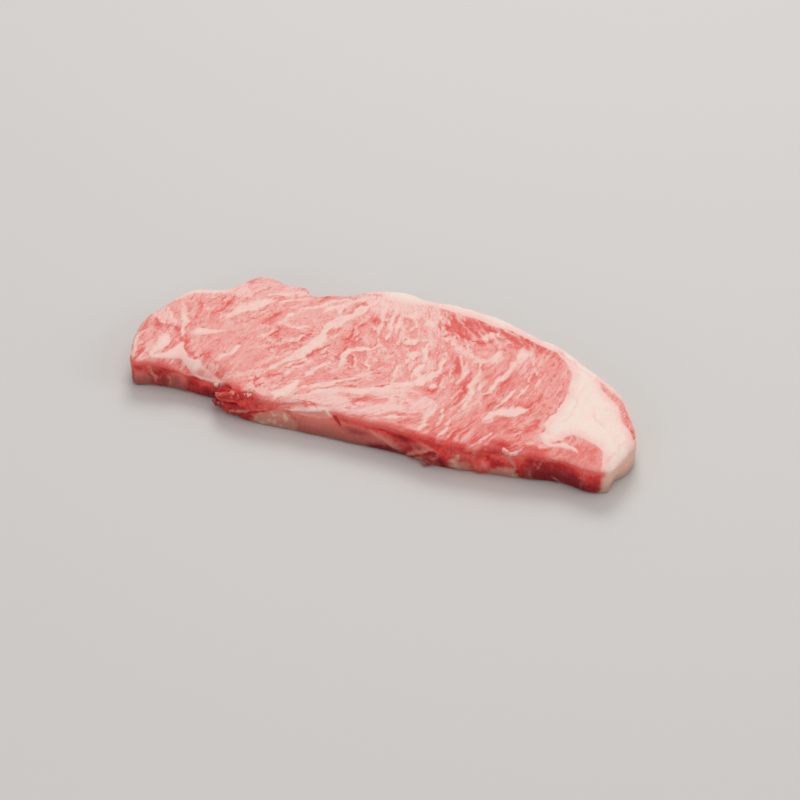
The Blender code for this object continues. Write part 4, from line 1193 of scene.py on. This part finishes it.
def makeBeef():
    material = bpy.data.materials.new("rawBeef")
    g = Graph(material)
    place = g.field("place", "Vector")
    fibre = g.wander(g.wander(g.field("fibre", "Vector"), place, 0.17, 2.0), place, 0.5, 1.1)
    fatEdge, veinEdge, splitEdge = g.field("fat"), g.field("vein"), g.field("split")
    skinEdge, hazeEdge = g.field("skin"), g.field("haze")
    tone, rim, blush = g.field("tone"), g.field("rim"), g.field("blush")
    hidden = g.field("hidden")
    lively = 1 - g.field("calm") * 0.5
    along, height = (g.add("SeparateXYZ", {}, {0: place}, axis) for axis in (0, 2))
    onSide = 1 - rim.step(-0.8, 0.5)

    waver = (g.noise(place, 0.45, 3.0, 0.6) - 0.5) * 2.6
    nibble = (g.noise(place, 1.5, 2.0, 0.6) - 0.5) * 1.1
    blotch = g.noise(place, 0.12, 2.0, 0.5) - 0.5
    patchy = g.noise(place, 0.24, 2.0, 0.55)
    grit = g.noise(place, 1.7, 3.0, 0.85) - 0.5
    drip = g.noise(place, (1.5, 1.5, 0.4), 2.0, 0.7) - 0.5

    # what follows the fibres: red mottling, thin red threads, and fat in wisps and in a net
    mottle = (g.noise(fibre, (0.55, 0.18, 0.30), 3.0, 0.65) - 0.5) * lively
    grain = (g.noise(fibre, (1.8, 0.65, 0.9), 2.0, 0.7) - 0.5) * lively
    longLines = g.noise(fibre, (0.30, 0.070, 0.16), 3.0, 0.5) - 0.5
    shortLines = g.noise(fibre, (0.62, 0.12, 0.35), 2.0, 0.6) - 0.5
    threads = (1 - abs(longLines) * 2.0).step(0.93, 0.99) * patchy.step(0.44, 0.60)
    threads = threads.most((1 - abs(shortLines) * 2.0).step(0.90, 1.0) * 0.7 * patchy.step(0.58, 0.44))
    broadWisp = g.noise(fibre, (0.20, 0.070, 0.10), 4.0, 0.60)
    smallWisp = g.noise(fibre, (0.62, 0.20, 0.40), 3.0, 0.62)
    netLines = g.noise(fibre, (0.15, 0.055, 0.10), 3.0, 0.55) - 0.5
    net = (1 - abs(netLines) * 2.0).step(0.86, 0.97) * (smallWisp + broadWisp).step(0.86, 1.06)
    marbling = (broadWisp.step(0.53, 0.64) * 0.8).most(smallWisp.step(0.55, 0.68) * 0.55).most(net * 0.9)
    marbling = marbling * lively * lively

    # the upper face of the lean; it is redder beside its seams
    veinField = veinEdge + waver * 0.35 + nibble * 0.6 + (smallWisp - 0.5) * 3.0
    besideVein = veinField.step(-2.0, -0.6) * patchy.step(0.42, 0.6)
    besideSplit = (splitEdge + nibble).step(-2.6, 0.0)
    red = tone * 0.9 + blotch * 0.6 + mottle * 1.1 + besideVein * 0.2 + besideSplit * 0.35
    red = red + grit * 1.1 + grain * 1.3 + 0.34
    lean = shades(red, "leanPale", (-0.15, 0.36, "lean"), (0.34, 0.95, "leanRed"),
                  (0.95, 1.7, "leanDeep"))
    pale = marbling * (1 - tone.step(0.15, 1.2) * 0.6) * (0.82 + grit * 1.2)
    lean = pale.blend(lean, beef["marbling"])
    lean = (threads * (0.4 + lively * 0.4 - marbling * 0.3)).blend(lean, beef["thread"])
    haze = (hazeEdge + waver * 0.9 + mottle * 3.0 + nibble).step(-1.0, 1.0)
    hazeGaps = (shortLines * 1.6 + mottle * 1.4 + grain * 0.8 + grit * 0.4).step(0.06, 0.5)
    top = (haze * (0.92 - hazeGaps * 0.8 - threads * 0.6)).blend(lean, beef["haze"])

    # the side is bright red under the rim and deeper towards its foot; the deepening towards the foot is
    # partly painted shade and partly deeper red
    depth = (height + waver * 1.2).step(14.0, 0.5)
    sideRed = tone + depth * 0.75 + blotch * 0.8 + (mottle + waver * 0.12) * 0.9
    sideRed = sideRed + grit * 0.8 + drip * 0.8 + 0.14
    side = shades(sideRed, "sidePale", (-0.45, 0.15, "sideBright"), (0.15, 0.62, "sideLean"),
                  (0.60, 1.25, "sideDeep"))
    side = (marbling * 0.28 * (1 - tone.step(0.2, 0.9))).blend(side, beef["gristle"])
    # the membrane is darker towards the foot and brighter near the rim: painted shade
    skinTint = shades(height + waver * 2.0 + (grit + drip) * 4.0, "skinShadedLow", (1.0, 11.5, "skinHigh"))
    skinTint = (tone * -1.0).step(0.2, 1.0).blend(skinTint, beef["skinPale"])
    skinMask = (skinEdge + waver * 1.2 + nibble).step(-1.5, 1.5) * (0.92 - tone.step(0.0, 1.0) * 0.75)
    side = (hidden * 0.6).blend(side, lean)
    side = skinMask.blend(side, skinTint)
    base = onSide.blend(top, side)

    # seams of fat, then fat with a clear edge
    veinMask = 0.78 + patchy.step(0.35, 0.6) * 0.2 - mottle * 0.9 - grit * 0.3
    veinMask = veinField.step(-0.6, 0.7) * veinMask
    base = veinMask.blend(base, onSide.blend(beef["vein"], beef["gristle"]))
    fatMask = (fatEdge + waver * 0.3 + nibble * 0.6).step(-0.4, 0.5)
    fatMask = fatMask * (0.98 - grit.most(0.0) * 0.25 - (tone + mottle).step(0.2, 1.1) * 0.55)
    sideMask = (fatEdge + waver * 1.2 + nibble * 1.4).step(-1.5, 1.5) * (0.62 + patchy * 0.5)
    end = along.step(96.0, 101.0).most(hidden).most(along.step(-63.0, -66.0) * height.step(9.0, 11.0))
    sideMask = sideMask + (fatEdge.step(-1.6, 1.2) - sideMask) * end
    fatMask = fatMask + (sideMask - fatMask) * onSide
    fatBlush = (fatEdge + waver * 1.2).step(-0.5, 5.5) * 0.9 + blotch * 0.8 + nibble * 0.6
    fatBlush = fatBlush - tone * 0.8 - grit * 1.3 + (smallWisp - 0.5) * 0.9 + 0.09
    mixed = (patchy + nibble * 0.25).step(0.50, 0.66) * 0.7
    sideTint = mixed.blend(beef["sideFat"], beef["sideFatPale"])
    endTint = shades(height + waver * 0.8, "endFat", (10.5, 14.6, "fatPink"))
    endTint = (mixed * hidden * 0.4).blend(endTint, beef["sideFat"])
    sideTint = end.blend(sideTint, endTint)
    base = fatMask.blend(base, onSide.blend(fatBlush.blend(beef["fatPink"], beef["fat"]), sideTint))

    # the red rim between them
    rimEdge = rim + waver * 0.55 + mottle * 2.0
    rimMask = (rimEdge - blush.least(1.35) * 1.8).step(1.2, -0.9) * rimEdge.step(-3.0, -0.8)
    rimMask = rimMask * blush.least(1.0) * (0.74 + patchy.step(0.3, 0.6) * 0.26)
    rimTint = shades(blush + grit * 0.8, "rimPink", (0.5, 1.6, "rimRed"))
    rimTint = (blush + grit * 3.0 + drip * 2.0).step(1.1, 2.3).blend(rimTint, beef["rimDeep"])
    base = (rimMask * 0.92).blend(base, rimTint)

    # the lips
    lipMask = (g.field("lip") + waver * 0.25 + nibble * 0.4).step(-0.6, 0.5)
    base = lipMask.blend(base, beef["lip"])

    # dark splits
    splitMask = (splitEdge + nibble * 0.7).step(-0.3, 0.3)
    splitTint = onSide.most(tone.step(1.0, 2.0)).blend(beef["split"], beef["splitSide"])
    base = (splitMask * (0.6 + patchy * 0.4)).blend(base, splitTint)

    fatness = fatMask.most(veinMask * 0.6).most(haze * 0.5 * (1 - onSide))
    # grit speckles the colour; on the walls the colour is also darker towards the foot: painted shade,
    # which also stands for deeper red there
    speckleAndFootShade = 1 + grit * (0.42 - fatness * 0.16) + (height.step(0.0, 9.0) - 1) * 0.34 * onSide
    base = g.add("VectorMath", {"operation": "SCALE"}, {0: base, "Scale": speckleAndFootShade})

    roughness = beef["roughness"] + grit * 0.3 + fatness * 0.08
    lift = (1 - fatness * 0.8) * (mottle * 1.1 + shortLines * 0.7 + grit * 0.5) + grit * 0.12
    lift = lift + marbling * 0.12 + veinMask * 0.15 - threads * 0.06
    bump = g.add("Bump", {}, {"Strength": beef["bumpStrength"], "Distance": beef["bumpHeight"] * mm,
                              "Height": lift})
    shader = g.add("BsdfPrincipled", {"subsurface_method": "RANDOM_WALK"}, {
        "Base Color": base, "Roughness": roughness, "Normal": bump,
        "Subsurface Weight": beef["subsurface"], "Subsurface Radius": beef["subsurfaceRadius"],
        "Subsurface Scale": beef["subsurfaceScale"] * mm, "Specular IOR Level": beef["specular"],
        "IOR": beef["ior"]})
    g.add("OutputMaterial", {}, {"Surface": shader})
    return material


steakMesh = makeBlank()
print("blank slab:", len(steakMesh.polygons), "faces")
fields = sculptSlab(steakMesh)
print("slab sculpted")
joinPieces(steakMesh, fields)
print("small pieces joined:", len(steakMesh.polygons), "faces")
steakMesh.shade_smooth()
steakMesh.materials.clear()
steakMesh.materials.append(makeBeef())
steakPiece = bpy.data.objects.new("steakMeat", steakMesh)
bpy.context.scene.collection.objects.link(steakPiece)
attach(steakPiece, "root")
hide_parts("steak")
print("meat ready")


floor = {"size": 6.0, "below": 0.1 * mm, "tint": fromScreen(214, 212, 210), "roughness": 0.7}
lights = [
    # name, place, size, watts, tint
    ("key", (-0.25, 0.95, 1.15), 0.75, 8.6, (1.0, 0.985, 0.965)),
    ("top", (0.2, 0.1, 1.5), 1.1, 3.7, (1.0, 0.99, 0.98)),
    ("front", (-0.25, -1.1, 0.5), 0.8, 1.7, (1.0, 0.99, 0.98)),
    ("right", (1.3, 0.25, 0.75), 0.7, 2.4, (1.0, 1.0, 1.0)),
]
studio = {"tint": (1.0, 0.99, 0.98, 1.0), "strength": 0.42}
camera = {
    "place": (0.3284, -0.9703, 0.9814),
    "near": 0.05,
    "azimuth": 18.529,
    "elevation": 44.0,
    "lens": 150.6,
    "sensor": 36.0,
}


def makeFloor():
    mesh = bpy.data.meshes.new("floor")
    half = floor["size"] / 2
    corners = [(-half, -half, 0.0), (half, -half, 0.0), (half, half, 0.0), (-half, half, 0.0)]
    mesh.from_pydata(corners, [], [(0, 1, 2, 3)])
    material = bpy.data.materials.new("paleFloor")
    g = Graph(material)
    shader = g.add("BsdfPrincipled", {}, {"Base Color": floor["tint"],
                                          "Roughness": floor["roughness"]})
    g.add("OutputMaterial", {}, {"Surface": shader})
    mesh.materials.append(material)
    made = bpy.data.objects.new("floor", mesh)
    made.location.z = -floor["below"]
    bpy.context.scene.collection.objects.link(made)


def makeLights():
    for name, place, size, watts, tint in lights:
        lamp = bpy.data.lights.new(name, "AREA")
        lamp.shape = "DISK"
        lamp.size = size
        lamp.energy = watts
        lamp.color = tint
        holder = bpy.data.objects.new(name, lamp)
        holder.location = place
        holder.rotation_euler = (-Vector(place)).to_track_quat("-Z", "Y").to_euler()
        bpy.context.scene.collection.objects.link(holder)
    world = bpy.data.worlds.new("studio")
    world.use_nodes = True
    background = world.node_tree.nodes["Background"]
    background.inputs["Color"].default_value = studio["tint"]
    background.inputs["Strength"].default_value = studio["strength"]
    bpy.context.scene.world = world


def makeCamera():
    lens = bpy.data.cameras.new("photoCamera")
    lens.lens = camera["lens"]
    lens.sensor_width = camera["sensor"]
    lens.clip_start = camera["near"]
    holder = bpy.data.objects.new("photoCamera", lens)
    turn, tilt = math.radians(camera["azimuth"]), math.radians(camera["elevation"])
    look = Vector((-math.sin(turn) * math.cos(tilt), math.cos(turn) * math.cos(tilt), -math.sin(tilt)))
    holder.location = camera["place"]
    holder.rotation_euler = look.to_track_quat("-Z", "Y").to_euler()
    bpy.context.scene.collection.objects.link(holder)
    bpy.context.scene.camera = holder


makeFloor()
makeLights()
makeCamera()
bpy.context.scene.view_settings.view_transform = "Standard"
print("floor, light and camera ready")
